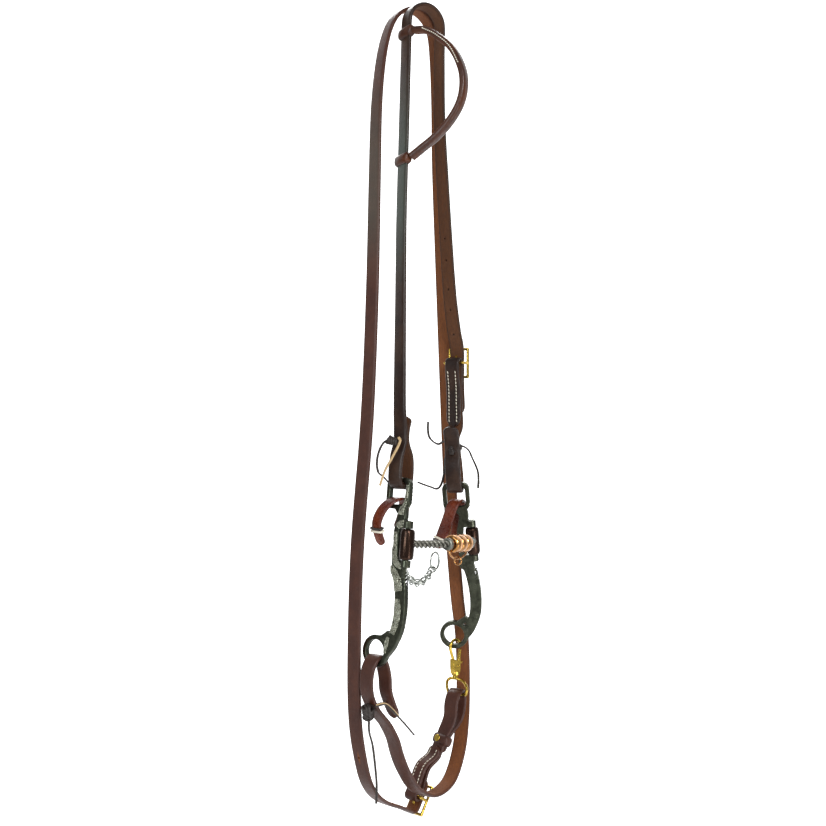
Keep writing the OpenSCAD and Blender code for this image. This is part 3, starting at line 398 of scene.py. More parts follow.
RING_LOW = on_shank(-1, 0, RING_BACK, -RING_DROP - RING_MID_R)
RING_FOLD = RING_MID_R - math.sqrt(10.8**2 - (STRAP_W / 2) ** 2) + 0.5 + STRAP_T / 2
RING_LOOP = [
    (RING_LOW.x + x, RING_LOW.y + y, RING_LOW.z + z, turn)
    for x, y, z, turn in [(17, -12, -52, 14), (14, -8.4, -41, 14), (11, -5, -27, 12), (10.5, -4, -12, 10),
                          (8.2, -1.5, 1.5, 8), (0.8, 0, RING_FOLD, 8), (-8.2, 1, 1.5, 8), (-10.5, 3, -12, 10),
                          (-9, 3, -27, 10), (-1.5, 1.6, -41, 10), (5, -1.2, -50, 9), (11, -4, -58, 8)]
]
REIN_START = RING_LOOP[-1]
REIN_ROUTE = [(REIN_START[0] + 1.5, REIN_START[1] - 0.5, REIN_START[2] - 2.2, REIN_START[3])] + [
    (-58, 4.6, -717, 7), (-50, 5.6, -731, 4), (-43, 6, -743, 2),
    (-34, 6, -756, 2), (-17, 6, -775, 0), (-2, 4.6, -785.4, 0), (14, 3.4, -791.4, 0), (31, 1.4, -791, 0),
    (48, 0.4, -785, 0), (64, 1, -770, 0), (76, 2, -748, 0), (88, 5.6, -712, 0), (93, 9.4, -650, 0),
    (88, 13, -600, 0), (83, 16.4, -530, 0), (75, 15.8, -450, 0), (66.5, 15.4, -350, 2), (57, 14.4, -250, 4),
    (45, 12, -150, 10), (36, 8.8, -80, 20), (28, 7.6, -30, 26.5), (23.4, 9, -12, 26.5), (14.5, 13.4, -1, 26.5),
    (4, 18.8, 2.6, 26.5), (-8, 24.4, -1.6, 26.5), (-18, 29, -12, 26.5), (-26, 32, -30, 26.5),
    (-37, 31.4, -60, 24), (-48, 29, -105, 20), (-58, 24.6, -170, 16), (-69, 20.6, -290, 12),
    (-76, 22, -410, 10), (-82, 29, -530, 8), (-84, 31.4, -630, 8), (-84, 30, -700, 8),
    (-79, 24, -748, 10), (-66, 23.4, -769, 10), (-46, 24, -784, 11), (-14, 26, -799, 13), (6, 27.8, -808.4, 14),
]
REIN_BAR = Vector((18, 26.4, -797))
IN_WAY = Vector((-0.54, 0.127, -0.83)).normalized()
BAR_LEVEL = Vector((0.229, 0.974, 0))
BAR_WAY = (BAR_LEVEL - BAR_LEVEL.dot(IN_WAY) * IN_WAY).normalized()
OUT_WAY = IN_WAY.cross(BAR_WAY)


def at_rein_bar(out, along):
    return (*(REIN_BAR + OUT_WAY * out + IN_WAY * along), 13.2)


BILLET_ROUTE = [(8.8, 28.1, -809.6, 14), at_rein_bar(BILLET_OUT - 5, 15.5), at_rein_bar(BILLET_OUT - 0.6, 12.4),
                at_rein_bar(BILLET_OUT, 5), at_rein_bar(BILLET_OUT, -8), at_rein_bar(BILLET_OUT - 0.6, -20)]
D_BAR = Vector((73.5, 5.2, -702))
KEEPER_MID = Vector((52, 12.4, -746))
KEEPER_WAY = Vector((0.4, -0.2, 0.9)).normalized()
KEEPER_LEVEL = Vector((math.sin(math.radians(15)), math.cos(math.radians(15)), 0))
KEEPER_ACROSS = (KEEPER_LEVEL - KEEPER_LEVEL.dot(KEEPER_WAY) * KEEPER_WAY).normalized()
KEEPER_OUT = KEEPER_ACROSS.cross(KEEPER_WAY)


def at_keeper(out, up):
    return (*(KEEPER_MID + KEEPER_OUT * out + KEEPER_WAY * up), 15)


def near_d(x, z, turn=0):
    return (D_BAR.x + x, D_BAR.y - x * 0.05, D_BAR.z + z, turn)


D_FOLD = 1.6 + 0.5 + STRAP_T / 2
SNAP_TAIL = [at_keeper(-LAYER - 0.1, -8), at_keeper(-LAYER - 0.4, -18), at_rein_bar(-CHAPE_R - 1, -30), at_rein_bar(-CHAPE_R, -9)]
SNAP_ROUTE = (
    SNAP_TAIL
    + [at_rein_bar(CHAPE_R * math.cos(math.radians(a)), CHAPE_R * math.sin(math.radians(a))) for a in range(180, -1, -30)]
    + [at_rein_bar(CHAPE_R, -9), at_rein_bar(CHAPE_R - 3, -30), at_keeper(-0.3, -18), at_keeper(0, -8), at_keeper(0, 7)]
    + [near_d(-14.6, -22, 8), near_d(-12, -8, 2), near_d(-7, 1), near_d(-D_FOLD * 0.7, D_FOLD * 0.7), near_d(0, D_FOLD),
       near_d(D_FOLD, 0.6), near_d(4.4, -12), near_d(-1, -26, 8)]
    + [at_keeper(LAYER + 0.1, 6), at_keeper(LAYER, -6), at_keeper(LAYER, -13)]
)
CURB_NEAR = [(-66, 11.6, -531, 16), (-70, 13, -521, 16), (-73, 13, -510, 16), (-72.6, 8.6, -499, 14),
             (-69, 3, -491, 12), (-63, -1.8, -487.2, 8), (-56.6, -3.6, -487, 8), (-49.4, -3, -490, 8),
             (-45.4, -0.4, -499, 8), (-42.4, 4, -509, 6), (-39.4, 9.6, -519, 0)]
CURB_FAR = [(69, 6.4, -545, -12), (70.6, 4.6, -532, -14), (70.4, 1.4, -516, -18), (68, -2, -503, -20),
            (62, -4, -497.4, -20), (54.4, -4.3, -496.4, -20), (47.4, -3.6, -501, -20), (43.6, 0, -515, -14),
            (41, 5, -530, -8), (39, 10, -545, 0)]


# ---- makers ----

def alone(made):
    """Only this piece selected and active."""
    bpy.ops.object.select_all(action="DESELECT")
    made.select_set(True)
    bpy.context.view_layer.objects.active = made


def shade(made, angle=40):
    alone(made)
    bpy.ops.object.shade_smooth_by_angle(angle=math.radians(angle))


def applied(made, kind, **settings):
    """One modifier added and applied."""
    step = made.modifiers.new(kind.lower(), kind)
    for key, value in settings.items():
        setattr(step, key, value)
    alone(made)
    bpy.ops.object.modifier_apply(modifier=step.name)


def joined(name, objects):
    """Several pieces made one."""
    alone(objects[0])
    for other in objects:
        other.select_set(True)
    if len(objects) > 1:
        bpy.ops.object.join()
    made = bpy.context.object
    made.name = name
    made.data.name = name
    return made


def copied(made, turn, place):
    """A copy with its own mesh, turned and moved to a place in millimetres."""
    other = made.copy()
    other.data = made.data.copy()
    bpy.context.collection.objects.link(other)
    other.data.transform(Matrix.Translation(Vector(place) * MM) @ turn.to_4x4())
    return other


def frame_turn(x, y, z):
    """The turn whose own directions are those three."""
    return Matrix((x, y, z)).transposed()


def soft_mesh(name, verts, faces, finish, side, edge, angle=50):
    """A leather or thread piece at the origin, from points in millimetres."""
    mesh = bpy.data.meshes.new(name)
    mesh.from_pydata([Vector(v) * MM for v in verts], [], faces)
    mesh.attributes.new("strap_side", "FLOAT", "POINT").data.foreach_set("value", side)
    mesh.attributes.new("strap_edge", "FLOAT", "POINT").data.foreach_set("value", edge)
    made = bpy.data.objects.new(name, mesh)
    bpy.context.collection.objects.link(made)
    mesh.materials.append(finish)
    work = bmesh.new()
    work.from_mesh(mesh)
    bmesh.ops.recalc_face_normals(work, faces=work.faces)
    work.to_mesh(mesh)
    work.free()
    shade(made, angle)
    return made


def skinned(count, around):
    """Faces between rings of points, one ring after another."""
    return [[i * around + j, i * around + (j + 1) % around, (i + 1) * around + (j + 1) % around, (i + 1) * around + j]
            for i in range(count - 1) for j in range(around)]


def strap_section(w, t, crown):
    """Points round a strap's section as (across, through), with rounded edges and a faint crown."""
    r = t * 0.44
    corners = []
    for cx, cy, start in ((1, 1, 0), (-1, 1, 90), (-1, -1, 180), (1, -1, 270)):
        for k in range(5):
            a = math.radians(start + 22.5 * k)
            corners.append((cx * (w / 2 - r) + r * math.cos(a), cy * (t / 2 - r) + r * math.sin(a)))
    full = []
    for i, p in enumerate(corners):
        full.append(p)
        q = corners[(i + 1) % len(corners)]
        if abs(p[0] - q[0]) > w * 0.3:
            for f in (0.1, 0.2, 0.35, 0.5, 0.65, 0.8, 0.9):
                x = p[0] + (q[0] - p[0]) * f
                full.append((x, p[1] + math.copysign(crown * (1 - (2 * x / w) ** 2), p[1])))
    return full


def make_strap(name, points, finish, w=STRAP_W, t=STRAP_T, grain=1, crown=0.15, tips=(0, 0), wave=0.12, part=None):
    """A leather strap along points; grain says which face is the smooth one, tips round its ends off,
    part gives the first and last point used."""
    first, final = part or (0, len(points) - 1)
    section = strap_section(w, t, crown)
    m = len(section)
    last = final - first
    ends = (Vector(points[first][:3]), Vector(points[final][:3]))
    verts, side, edge = [], [], []
    for i in range(last + 1):
        here, _, across, through = frame_at(points, first + i)
        narrow = 1.0
        for end, reach, near_end in ((ends[0], tips[0], i < last / 2), (ends[1], tips[1], i >= last / 2)):
            gone = (here - end).length
            if reach and near_end and gone < reach:
                narrow = math.sqrt(max(0.05, 1 - (1 - gone / reach) ** 2))
        sway = wave * noise.noise(here * 0.045)
        for a, b in section:
            verts.append(here + across * (a * narrow) + through * (b + sway))
            facing = b * grain if grain else abs(b)
            side.append(1.0 if facing > -t * 0.2 else 0.0)
            edge.append(1.0 if abs(a) > w / 2 - 1.2 else (0.5 if abs(a) > w / 2 - 2.4 else 0.0))
    faces = skinned(last + 1, m)
    for base in (0, last * m):
        verts.append(sum((verts[base + j] for j in range(m)), Vector()) / m)
        side.append(0.6)
        edge.append(1.0)
        faces += [[base + j, base + (j + 1) % m, len(verts) - 1] for j in range(m)]
    return soft_mesh(name, verts, faces, finish, side, edge)


def make_strand(name, route, d, finish, n=8, flat=1.0, lift=0.7, sides=10):
    """A lace, cut a little flat, along a route."""
    points = smooth(route, n)
    verts = []
    last = len(points) - 1
    for i in range(last + 1):
        here, _, across, through = frame_at(points, i, lift)
        wide = d / 2 * (1 + 0.08 * noise.noise(here * 0.3))
        for k in range(sides):
            a = 2 * math.pi * k / sides
            verts.append(here + across * (wide * math.cos(a)) + through * (wide * flat * math.sin(a)))
    faces = skinned(last + 1, sides)
    faces.append(list(range(sides)))
    faces.append([last * sides + j for j in range(sides)])
    return soft_mesh(name, verts, faces, finish, [1.0] * len(verts), [0.0] * len(verts))


def wound(name, centre, axis, r, turns, d, finish, length):
    """Turns of lace wound side by side round a bundle."""
    axis = Vector(axis).normalized()
    u = axis.orthogonal().normalized()
    v = axis.cross(u)
    route = []
    steps = int(turns * 14)
    for i in range(steps + 1):
        f = i / steps
        a = 2 * math.pi * turns * f
        swell = r * (1 + 0.1 * math.sin(5 * f + 1) + 0.05 * math.sin(a * 0.5))
        p = Vector(centre) + axis * ((f - 0.5) * length) + (u * math.cos(a) + v * math.sin(a)) * swell
        route.append((*p, 0))
    return make_strand(name, route, d, finish, n=2, flat=0.8, lift=0.31, sides=8)


def leather_loop(name, centre, along, across, inside, wall, tall, finish):
    """A keeper: a band bent round a strap, inside is (through, across)."""
    along = Vector(along).normalized()
    across = (Vector(across) - Vector(across).dot(along) * along).normalized()
    through = across.cross(along)
    rim = [(0.0, -0.5), (0.45, -0.42), (0.88, -0.3), (1.0, -0.1), (1.0, 0.1), (0.88, 0.3), (0.45, 0.42), (0.0, 0.5),
           (0.0, 0.25), (0.0, 0.0), (0.0, -0.25)]
    verts, faces = [], []
    half_t, half_w = inside[0] / 2, inside[1] / 2
    around = 48
    for i in range(around):
        a = 2 * math.pi * i / around
        c, s = math.cos(a), math.sin(a)
        square = (abs(c) ** 8 + abs(s) ** 8) ** (-1 / 8)
        out = (through * c + across * s).normalized()
        base = Vector(centre) + through * (half_t * c * square) + across * (half_w * s * square)
        for depth, h in rim:
            verts.append(base + out * (wall * depth) + along * (tall * h))
    m = len(rim)
    for i in range(around):
        for j in range(m):
            k = (i + 1) % around
            faces.append([i * m + j, i * m + (j + 1) % m, k * m + (j + 1) % m, k * m + j])
    edge = [1.0 if abs(rim[i % m][1]) > 0.4 else 0.0 for i in range(len(verts))]
    return soft_mesh(name, verts, faces, finish, [1.0] * len(verts), edge)


def one_stitch(pitch):
    """A stitch lying along X, sunk to its middle: a few dozen faces."""
    bpy.ops.object.select_all(action="DESELECT")
    bpy.ops.mesh.primitive_uv_sphere_add(segments=8, ring_count=5, radius=1 * MM)
    made = bpy.context.object
    made.name = "stitch"
    bpy.ops.object.mode_set(mode="EDIT")
    bpy.ops.mesh.select_all(action="SELECT")
    bpy.ops.transform.resize(value=(pitch * 0.42, 0.5, 0.45))
    bpy.ops.object.mode_set(mode="OBJECT")
    made.data.materials.append(THREAD)
    shade(made, 60)
    return made


def stitch_row(name, points, lift, offset, pitch=3.5, start=1.5, slant=0.12, on_edge=False):
    """Saddle stitches along a strap's face or its edge: lift is out of that face, offset along it."""
    first = one_stitch(pitch)
    row = []
    gone, due = 0.0, start
    for i in range(len(points) - 1):
        a, b = Vector(points[i][:3]), Vector(points[i + 1][:3])
        step = (b - a).length
        while due < gone + step:
            _, t, across, through = frame_at(points, i)
            if on_edge:
                across, through = through, across
            way = (t + across * slant).normalized()
            up = through * (1 if lift > 0 else -1)
            side = up.cross(way).normalized()
            middle = a.lerp(b, (due - gone) / step) + across * offset + through * lift
            row.append(copied(first, frame_turn(way, side, way.cross(side)), middle))
            due += pitch
        gone += step
    bpy.data.objects.remove(first)
    return joined(name, row)


def merged_copy(name, node):
    """A CAD solid's copy, its loose triangles merged."""
    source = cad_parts[node]
    made = bpy.data.objects.new(name, source.data.copy())
    bpy.context.collection.objects.link(made)
    alone(made)
    bpy.ops.object.mode_set(mode="EDIT")
    bpy.ops.mesh.select_all(action="SELECT")
    bpy.ops.mesh.remove_doubles(threshold=0.000005)
    bpy.ops.object.mode_set(mode="OBJECT")
    made.data.materials.clear()
    return made


def cast_copy(name, node, finish, voxel, rounds, angle=60):
    """A CAD solid with its edges drawn soft, as forging and filing leave them."""
    made = merged_copy(name, node)
    applied(made, "REMESH", mode="VOXEL", voxel_size=voxel * MM)
    applied(made, "SMOOTH", factor=0.5, iterations=rounds)
    made.data.materials.append(finish)
    shade(made, angle)
    return made


def turned_copy(name, node, finish, ease):
    """A CAD solid with its turned edges broken."""
    made = merged_copy(name, node)
    alone(made)
    bpy.ops.object.mode_set(mode="EDIT")
    bpy.ops.mesh.select_all(action="SELECT")
    bpy.ops.mesh.dissolve_limited(angle_limit=math.radians(1))
    bpy.ops.object.mode_set(mode="OBJECT")
    applied(made, "BEVEL", width=ease * MM, segments=3, limit_method="ANGLE", angle_limit=math.radians(25))
    applied(made, "TRIANGULATE")
    made.data.materials.append(finish)
    shade(made, 30)
    return made


def wire_ring(name, centre, turn, r, d, finish, oval=1.0, twist=0.0):
    """A ring of wire closed with a small brazed joint; an oval link may be twisted."""
    bpy.ops.object.select_all(action="DESELECT")
    bpy.ops.mesh.primitive_torus_add(major_segments=32, minor_segments=10, major_radius=r * MM, minor_radius=d / 2 * MM)
    made = bpy.context.object
    made.name = name
    bpy.ops.object.mode_set(mode="EDIT")
    bpy.ops.mesh.select_all(action="SELECT")
    bpy.ops.transform.resize(value=(1, oval, 1))
    bpy.ops.mesh.select_all(action="DESELECT")
    bpy.ops.object.mode_set(mode="OBJECT")
    for p in made.data.vertices:
        p.select = p.co.x > (r - d) * MM and abs(p.co.y) < d * 0.35 * MM
    bpy.ops.object.mode_set(mode="EDIT")
    bpy.ops.transform.shrink_fatten(value=0.12 * MM)
    bpy.ops.object.mode_set(mode="OBJECT")
    if twist:
        applied(made, "SIMPLE_DEFORM", deform_method="TWIST", deform_axis="X", angle=math.radians(twist))
    made.data.materials.append(finish)
    shade(made, 60)
    made.data.transform(Matrix.Translation(Vector(centre) * MM) @ turn.to_4x4())
    return made


def twisted_bar(name, start, stop, wire, lay, finish):
    """Three wires twisted together from one point to another."""
    start, stop = Vector(start), Vector(stop)
    long = (stop - start).length
    slices = int(long / 0.8)
    strands = []
    for k in range(3):
        a = 2 * math.pi * k / 3
        bpy.ops.object.select_all(action="DESELECT")
        bpy.ops.mesh.primitive_cylinder_add(vertices=12, radius=wire / 2 * MM, depth=long / slices * MM, end_fill_type="NOTHING",
                                            location=(wire * 0.55 * math.cos(a) * MM, wire * 0.55 * math.sin(a) * MM, 0))
        strand = bpy.context.object
        bpy.ops.object.transform_apply(location=True, rotation=True, scale=True)
        applied(strand, "ARRAY", count=slices, use_relative_offset=False, use_constant_offset=True,
                constant_offset_displace=(0, 0, long / slices * MM), use_merge_vertices=True, merge_threshold=0.00002)
        alone(strand)
        bpy.ops.object.mode_set(mode="EDIT")
        bpy.ops.mesh.select_all(action="DESELECT")
        bpy.ops.mesh.select_non_manifold()
        bpy.ops.mesh.fill_holes(sides=20)
        bpy.ops.object.mode_set(mode="OBJECT")
        strands.append(strand)
    made = joined(name, strands)
    applied(made, "SIMPLE_DEFORM", deform_method="TWIST", deform_axis="Z", angle=2 * math.pi * long / lay)
    made.data.materials.append(finish)
    way = (stop - start).normalized()
    turn = way.to_track_quat("Z", "Y").to_matrix()
    made.data.transform(Matrix.Translation(start * MM) @ turn.to_4x4())
    alone(made)
    bpy.ops.object.mode_set(mode="EDIT")
    bpy.ops.mesh.select_all(action="SELECT")
    bpy.ops.mesh.normals_make_consistent(inside=False)
    bpy.ops.object.mode_set(mode="OBJECT")
    shade(made, 60)
    return made


def punch(strap, places, radius=1.3):
    """Round holes through a strap at (place, way)."""
    for place, way in places:
        bpy.ops.object.select_all(action="DESELECT")
        bpy.ops.mesh.primitive_cylinder_add(vertices=20, radius=radius * MM, depth=12 * MM)
        drill = bpy.context.object
        drill.data.transform(Matrix.Translation(Vector(place) * MM) @ Vector(way).to_track_quat("Z", "Y").to_matrix().to_4x4())
        applied(strap, "BOOLEAN", operation="DIFFERENCE", object=drill, solver="EXACT")
        bpy.data.objects.remove(drill)


def where_level(points, z, on_far=True, behind=-99):
    """The place and through direction of a run where it passes a level, on one side, behind a depth."""
    best = None
    for i in range(1, len(points) - 1):
        if (points[i][0] > 0) == on_far and points[i][1] > behind:
            if best is None or abs(points[i][2] - z) < abs(points[best][2] - z):
                best = i
    here, _, across, through = frame_at(points, best)
    return here, through


def finished(piece, body, slot, *nodes):
    """A piece that rides a body and stands for CAD nodes, which it hides; slot is not used."""
    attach(piece, body)
    if nodes:
        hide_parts(*nodes)
    return piece


def carried(node, finish, slot):
    """A CAD node shown as it is, in its own finish."""
    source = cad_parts[node]
    source.data.materials.clear()
    source.data.materials.append(finish)


# ---- the rein ----

REIN_FINE = 6
strap_points = smooth(RING_LOOP + REIN_ROUTE[1:] + BILLET_ROUTE, REIN_FINE)
turn_off = (len(RING_LOOP) - 1) * REIN_FINE
rein_points = strap_points[turn_off:]
rein = make_strap("rein_strap", strap_points, REIN, grain=-1, tips=(0, 9), wave=0.0, part=(turn_off, len(strap_points) - 1))
punch(rein, [where_level(rein_points, -210), where_level(rein_points, -732, False, 20), where_level(rein_points, -780, False, 20)])
finished(rein, "headstall", "dark_leather", "rein", "rein_billet")

# The near end turns over the ring and is laced to itself
ring_start = (RING_LOW + Vector((0, 0, -56))) * MM
ring_end = (RING_LOW + Vector((0, 0, -12))) * MM
ring_end.x, ring_end.y = ring_start.x, ring_start.y
loop = make_strap("rein_water_loop", strap_points, REIN, grain=0, tips=(8, 0), wave=0.0, part=(0, turn_off))
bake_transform(loop)
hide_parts("rein_ring_loop")
lace_mid = RING_LOW + Vector((0, -1, -39))
lace_turn = Matrix.Rotation(math.radians(-12), 3, "Z")
knot_mid = lace_mid + lace_turn @ Vector((-11, -0.4, -4))
knot_way = lace_turn @ (Matrix.Rotation(math.radians(40), 3, "Z") @ Matrix.Rotation(math.radians(62), 3, "Y") @ Vector((1, 0, 0)))
knot_side = knot_way.cross(Vector((-0.86, -0.5, 0.1))).normalized()
rein_knot = joined("rein_knot", [
    wound("rein_knot_turns", knot_mid, knot_way, 4.4, 4.5, 3.4, LACE, 13),
    wound("rein_knot_cross", knot_mid + Vector((-2.6, -1.6, 3)), knot_side, 4.6, 2.2, 3.2, LACE, 5.5),
    make_strand("rein_knot_core", [(*(knot_mid - knot_way * 8), 0), (*knot_mid, 0), (*(knot_mid + knot_way * 8), 0)], 5.6, LACE),
    make_strand("rein_lace_through", [(*(lace_mid + lace_turn @ Vector((x, 0, 0))), 0) for x in (-10, 0, 10, 20)], LACE_D, LACE),
])
rein_ends = joined("rein_lace_tails", [
    make_strand("rein_tail_a", [(-96, 0, -677, 0), (-92, -6, -675, 0), (-83, -8, -681, 0), (-71, -9, -691, 0),
                                (-58, -10, -702, 0), (-46, -12, -714, 0)], LACE_D * 1.3, LACE, flat=0.55),
    make_strand("rein_tail_edge", [(-96, -1, -676, 0), (-93, -8, -674, 0), (-84, -10, -679.6, 0), (-72, -11, -690, 0)],
                1.3, CREAM, flat=0.7),
    make_strand("rein_tail_b", [(-93, 9, -692, 0), (-90, 10.6, -704, 0), (-83, 11.4, -718, 0), (-77, 12, -742, 0),
                                (-74, 12.4, -760, 0), (-75, 12.4, -776, 0)], LACE_D, LACE, flat=0.7),
])
for piece, nodes in ((rein_knot, ["rein_lace"]), (rein_ends, ["rein_lace_ends"])):
    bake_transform(piece)
    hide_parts(*nodes)


# ---- the headstall ----

crown_points = smooth(CROWN_ROUTE, 8)
crown = make_strap("crown_and_near_cheek", crown_points, HEADSTALL, tips=(6, 9))
punch(crown, [where_level(crown_points, z) for z in (-226, -251, -275, -300, -323)])
finished(crown, "headstall", "dark_leather", "crown_strap")
far_cheek = make_strap("far_cheek", smooth(FAR_CHEEK_ROUTE, 8), HEADSTALL, tips=(9, 6))
finished(far_cheek, "headstall", "dark_leather", "far_cheek_strap")

tail = smooth(FAR_CHEEK_ROUTE[:4], 12)
face = STRAP_T / 2 + 0.2
cheek_stitches = joined("far_cheek_stitches", [
    stitch_row("row_a", tail, face, 4.3, pitch=3.6, start=6),
    stitch_row("row_b", tail, face, -4.3, pitch=3.6, start=6),
])
finished(cheek_stitches, "headstall", "dark_leather")

ear = make_strap("ear_strap", smooth(EAR_ROUTE, 10), EAR, w=11, t=6.4, crown=0.1, wave=0.2)
sleeves = []
for i, z in enumerate((-29, -158)):
    top = Vector(cheek_at(z)[:3])
    turn = math.radians(26.5)
    sleeves.append(leather_loop(f"ear_sleeve_{i}", top, (0.115, 0.038, 1), (math.sin(turn), math.cos(turn), 0),
                                (STRAP_T + 1, STRAP_W + 1), 2.6, 11, EAR))
ear = joined("ear_piece_leather", [ear] + sleeves)
finished(ear, "ear", "dark_leather", "ear_piece")
ear_run = smooth(EAR_ROUTE[1:5], 10)
ear_seam = stitch_row("ear_seam", ear_run, -5.5 - 0.25, 0.6, pitch=2.6, start=1, on_edge=True)
finished(ear_seam, "ear", "dark_leather")

for side_name, out_end in (("near", -1), ("far", 1)):
    back = EYE_BACK + (3 if out_end < 0 else -2)
    out = 12.7
    middle = on_shank(out_end, out, back, KNOT_UP)
    way = SHANK_TURN[out_end] @ (Matrix.Rotation(math.radians(out_end * 68), 3, "Z") @ Matrix.Rotation(math.radians(12), 3, "Y") @ Vector((1, 0, 0)))
    knot = joined(side_name + "_knot", [
        wound(side_name + "_turns", middle, way, 3.4 if out_end < 0 else 3.0, 4, 2.6, LACE, 9.2),
        make_strand(side_name + "_core", [(*(middle - way * 5.5), 0), (*middle, 0), (*(middle + way * 5.5), 0)], 4.4, LACE),
        make_strand(side_name + "_through", [(*on_shank(out_end, x, EYE_BACK, KNOT_UP), 0) for x in (1, 5, 9, 13)], LACE_D, LACE),
    ])
    finished(knot, "headstall", "lace", side_name + "_bit_lace")
near_tails = joined("near_lace_tails", [
    make_strand("near_cut_end", [(-66.6, -7.4, -428, 0), (-67.4, -9.6, -431.6, 0), (-69.6, -2.4, -446.6, 0), (-72, 4.6, -460, 0),
                                 (-74.4, 8.6, -474, 0)], LACE_D, CREAM, flat=0.6),
    make_strand("near_loop_end", [(-60, 7, -430, 0), (-65, 11.4, -434.6, 0), (-68, 15.4, -447.6, 0), (-70, 13.4, -461, 0), (-66.6, 9.4, -466, 0),
                                  (-62, 4, -474, 0)], LACE_D, LACE, flat=0.7),
])
finished(near_tails, "headstall", "lace", "near_lace_ends")
far_tails = joined("far_lace_tails", [
    make_strand("far_end_a", [(40, 2.6, -434, 0), (37, 8, -437, 0), (33, 15, -431, 0), (34, 18, -423, 0), (36, 19, -414, 0)],
                LACE_D, LACE, flat=0.7),
    make_strand("far_end_b", [(55, 9.4, -452, 0), (53, 10, -470, 0), (46.5, 12.4, -483, 0), (34, 16, -481, 0), (20, 22, -476, 0)],
                LACE_D, LACE, flat=0.7),
    make_strand("far_end_c", [(58, -4, -439, 0), (62, -9, -440, 0), (67, -12, -444, 0), (73, -12.6, -451, 0), (80, -16, -466, 0),
                              (80, -17, -476, 0), (77, -18, -484, 0)], LACE_D, LACE, flat=0.7),
    wound("far_inner_turns", on_shank(1, -3.4, EYE_BACK, KNOT_UP), SHANK_TURN[1] @ Vector((0.5, 0.3, 1)), 1.9, 3, 2.6, LACE, 6.5),
    make_strand("far_inner_core", [(*on_shank(1, -5.2, EYE_BACK - 1, KNOT_UP - 4), 0), (*on_shank(1, -3.4, EYE_BACK, KNOT_UP), 0),
                                   (*on_shank(1, -1.6, EYE_BACK + 1, KNOT_UP + 4), 0)], 3.4, LACE),
])
finished(far_tails, "headstall", "lace", "far_lace_ends")

finished(cast_copy("cheek_buckle", "cheek_buckle_frame", BRASS, 0.28, 4), "headstall", "brass", "cheek_buckle_frame")
finished(cast_copy("cheek_tongue_cast", "cheek_buckle_tongue", BRASS, 0.22, 2), "cheek_tongue", "brass", "cheek_buckle_tongue")


# ---- the bit ----

for side_name, s, body in (("near", -1, "near_cheekpiece"), ("far", 1, "far_cheekpiece")):
    finished(cast_copy(side_name + "_cheek_forging", side_name + "_shank", IRON, 0.5, 5), body, "iron", side_name + "_shank")
    finished(cast_copy(side_name + "_silver", side_name + "_overlays", SILVER, 0.26, 3), body, "silver", side_name + "_overlays")
    finished(turned_copy(side_name + "_pin", side_name + "_hinge_pin", IRON, 0.6), body, "iron", side_name + "_hinge_pin")
    finished(turned_copy(side_name + "_barrel", side_name + "_sleeve", SLEEVE, 0.5), "mouth", "iron", side_name + "_sleeve")

COLLAR_AT = (3 * 10.8 + 2 * 0.3 + 2 * (1.8 + 0.8)) / 2 + 2.5
MOUTH_MID = Vector((0, -36, -DROP))
ACROSS = (HINGE[1] - HINGE[-1]).normalized()
for side_name, s in (("near", -1), ("far", 1)):
    inner = MOUTH_MID + ACROSS * (s * (COLLAR_AT - 1.5))
    outer = HINGE[s] + (inner - HINGE[s]).normalized() * 6.2
    bar = twisted_bar(side_name + "_twisted_bar", outer, inner, 4.0, 15, WIRE)
    finished(bar, "mouth", "iron", side_name + "_mouth_bar")
finished(turned_copy("bar_collars", "mouth_collars", WIRE, 0.8), "mouth", "iron", "mouth_collars")
finished(turned_copy("roller_axle", "mouth_axle", WIRE, 0.4), "mouth", "iron", "mouth_axle")
for i, letter in enumerate("abc"):
    finished(turned_copy("copper_roller_" + letter, f"roller_{i + 1}", COPPER, 0.4), "roller_" + letter, "copper", f"roller_{i + 1}")
finished(cast_copy("bail_wire", "copper_bail", COPPER, 0.24, 2), "bail", "copper", "copper_bail")
finished(cast_copy("key_ring", "copper_key", COPPER, 0.2, 1), "key", "copper", "copper_key")


# ---- the curb ----

near_curb = make_strap("near_curb_latigo", smooth(CURB_NEAR, 9), LATIGO, w=CURB_W, t=CURB_T, grain=0, wave=0.15, tips=(5, 4))
finished(near_curb, "curb", "red_leather", "near_curb_strap")
far_curb = make_strap("far_curb_latigo", smooth(CURB_FAR, 9), LATIGO, w=CURB_W, t=CURB_T, grain=0, wave=0.15, tips=(5, 4))
finished(far_curb, "curb", "red_leather", "far_curb_strap")
for side_name, route, place in (("near", CURB_NEAR, 4), ("far", CURB_FAR, 25)):
    coarse = smooth(route, 3)
    here, t, across, through = frame_at(coarse, place)
    ties = [leather_loop(f"{side_name}_tie_{k}", here + t * (k * 2.9), t, across, (CURB_T + 1.2, CURB_W + 1.2), 1.3, 2.3,
                         (THREAD, LACE)[k]) for k in range(2)]
    finished(joined(side_name + "_curb_ties", ties), "curb", "lace", side_name + "_curb_tie")

CHAIN_A = 33.0
CHAIN_LOW = Vector((8, 13, -577))
CHAIN_ENDS = (-49.0, 27.0)
LINKS = 13


def chain_at(s):
    """A point of the hanging chain, at a distance along it from its lowest point."""
    k = s / CHAIN_A
    return CHAIN_LOW + Vector((CHAIN_A * math.asinh(k), 0, CHAIN_A * (math.sqrt(1 + k * k) - 1)))


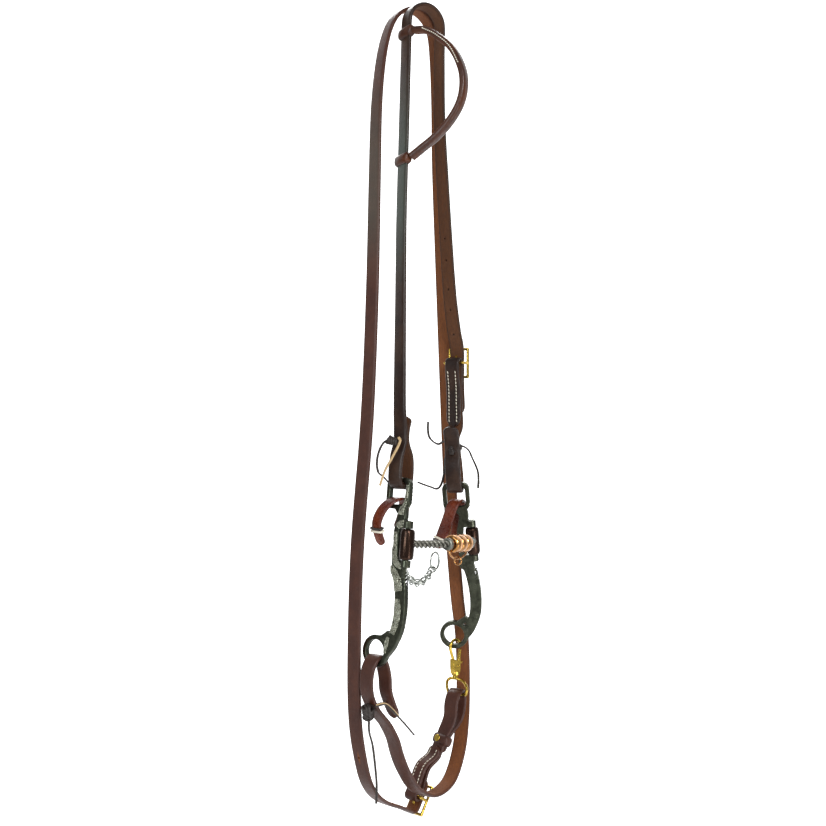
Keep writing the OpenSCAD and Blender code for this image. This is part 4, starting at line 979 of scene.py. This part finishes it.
first_link = wire_ring("curb_link", (0, 0, 0), Matrix.Identity(3), 5.0, 2.1, NICKEL, oval=0.8, twist=50)
chain = []
for i in range(LINKS):
    s = CHAIN_ENDS[0] + (CHAIN_ENDS[1] - CHAIN_ENDS[0]) * i / (LINKS - 1)
    turn = Matrix.Rotation(-math.atan(s / CHAIN_A), 3, "Y") @ Matrix.Rotation(math.radians(0 if i % 2 == 0 else 90), 3, "X")
    chain.append(copied(first_link, turn, chain_at(s)))
bpy.data.objects.remove(first_link)
finished(joined("twisted_curb_chain", chain), "curb", "steel", "curb_chain")
flat_in_y = Matrix.Rotation(math.radians(90), 3, "X")
for side_name, s, sign in (("near", CHAIN_ENDS[0], -1), ("far", CHAIN_ENDS[1], 1)):
    slope = math.atan(s / CHAIN_A) + math.radians(sign * 14)
    reach = 9 + 5 - 2.2 - 0.5
    centre = chain_at(s) + Vector((sign * math.cos(slope), 0, sign * math.sin(slope))) * reach
    ring = wire_ring(side_name + "_curb_wire_ring", centre, flat_in_y, 9.0, 2.2, NICKEL)
    finished(ring, "curb", "steel", side_name + "_curb_ring")


# ---- the snap end ----

snap_end = make_strap("snap_end_strap", smooth(SNAP_ROUTE, 8), REIN, grain=0, tips=(6, 6), wave=0.0)
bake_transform(snap_end)
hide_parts("snap_strap")
tail = smooth(SNAP_TAIL, 12)
snap_stitches = joined("snap_end_stitches", [
    stitch_row("snap_row_a", tail, -face, 4.3, pitch=3.5, start=5),
    stitch_row("snap_row_b", tail, -face, -4.3, pitch=3.5, start=5),
])
finished(snap_stitches, "headstall", "dark_leather")
keeper_centre = Vector(at_keeper(LAYER / 2, 0)[:3])
keeper = leather_loop("snap_end_keeper", keeper_centre, KEEPER_WAY, KEEPER_ACROSS, (2 * STRAP_T + 1, STRAP_W + 1.2), 1.8, 10, REIN)
finished(keeper, "headstall", "dark_leather", "snap_keeper")
finished(turned_copy("brass_screw", "keeper_screw", BRASS, 0.5), "headstall", "brass", "keeper_screw")
finished(cast_copy("rein_buckle", "rein_buckle_frame", BRASS, 0.28, 4), "headstall", "brass", "rein_buckle_frame")
finished(cast_copy("rein_tongue_cast", "rein_buckle_tongue", BRASS, 0.22, 2), "rein_tongue", "brass", "rein_buckle_tongue")
finished(cast_copy("snap_hook", "snap_body", BRASS, 0.25, 3), "snap", "brass", "snap_body")
finished(cast_copy("snap_thumb_lever", "snap_trigger", BRASS, 0.22, 2), "trigger", "brass", "snap_trigger")
finished(cast_copy("snap_eye", "snap_swivel", BRASS, 0.25, 2), "swivel", "brass", "snap_swivel")
finished(turned_copy("lever_pin", "snap_trigger_pin", BRASS, 0.2), "snap", "brass", "snap_trigger_pin")
finished(turned_copy("lever_spring", "snap_spring", NICKEL, 0.1), "snap", "steel", "snap_spring")
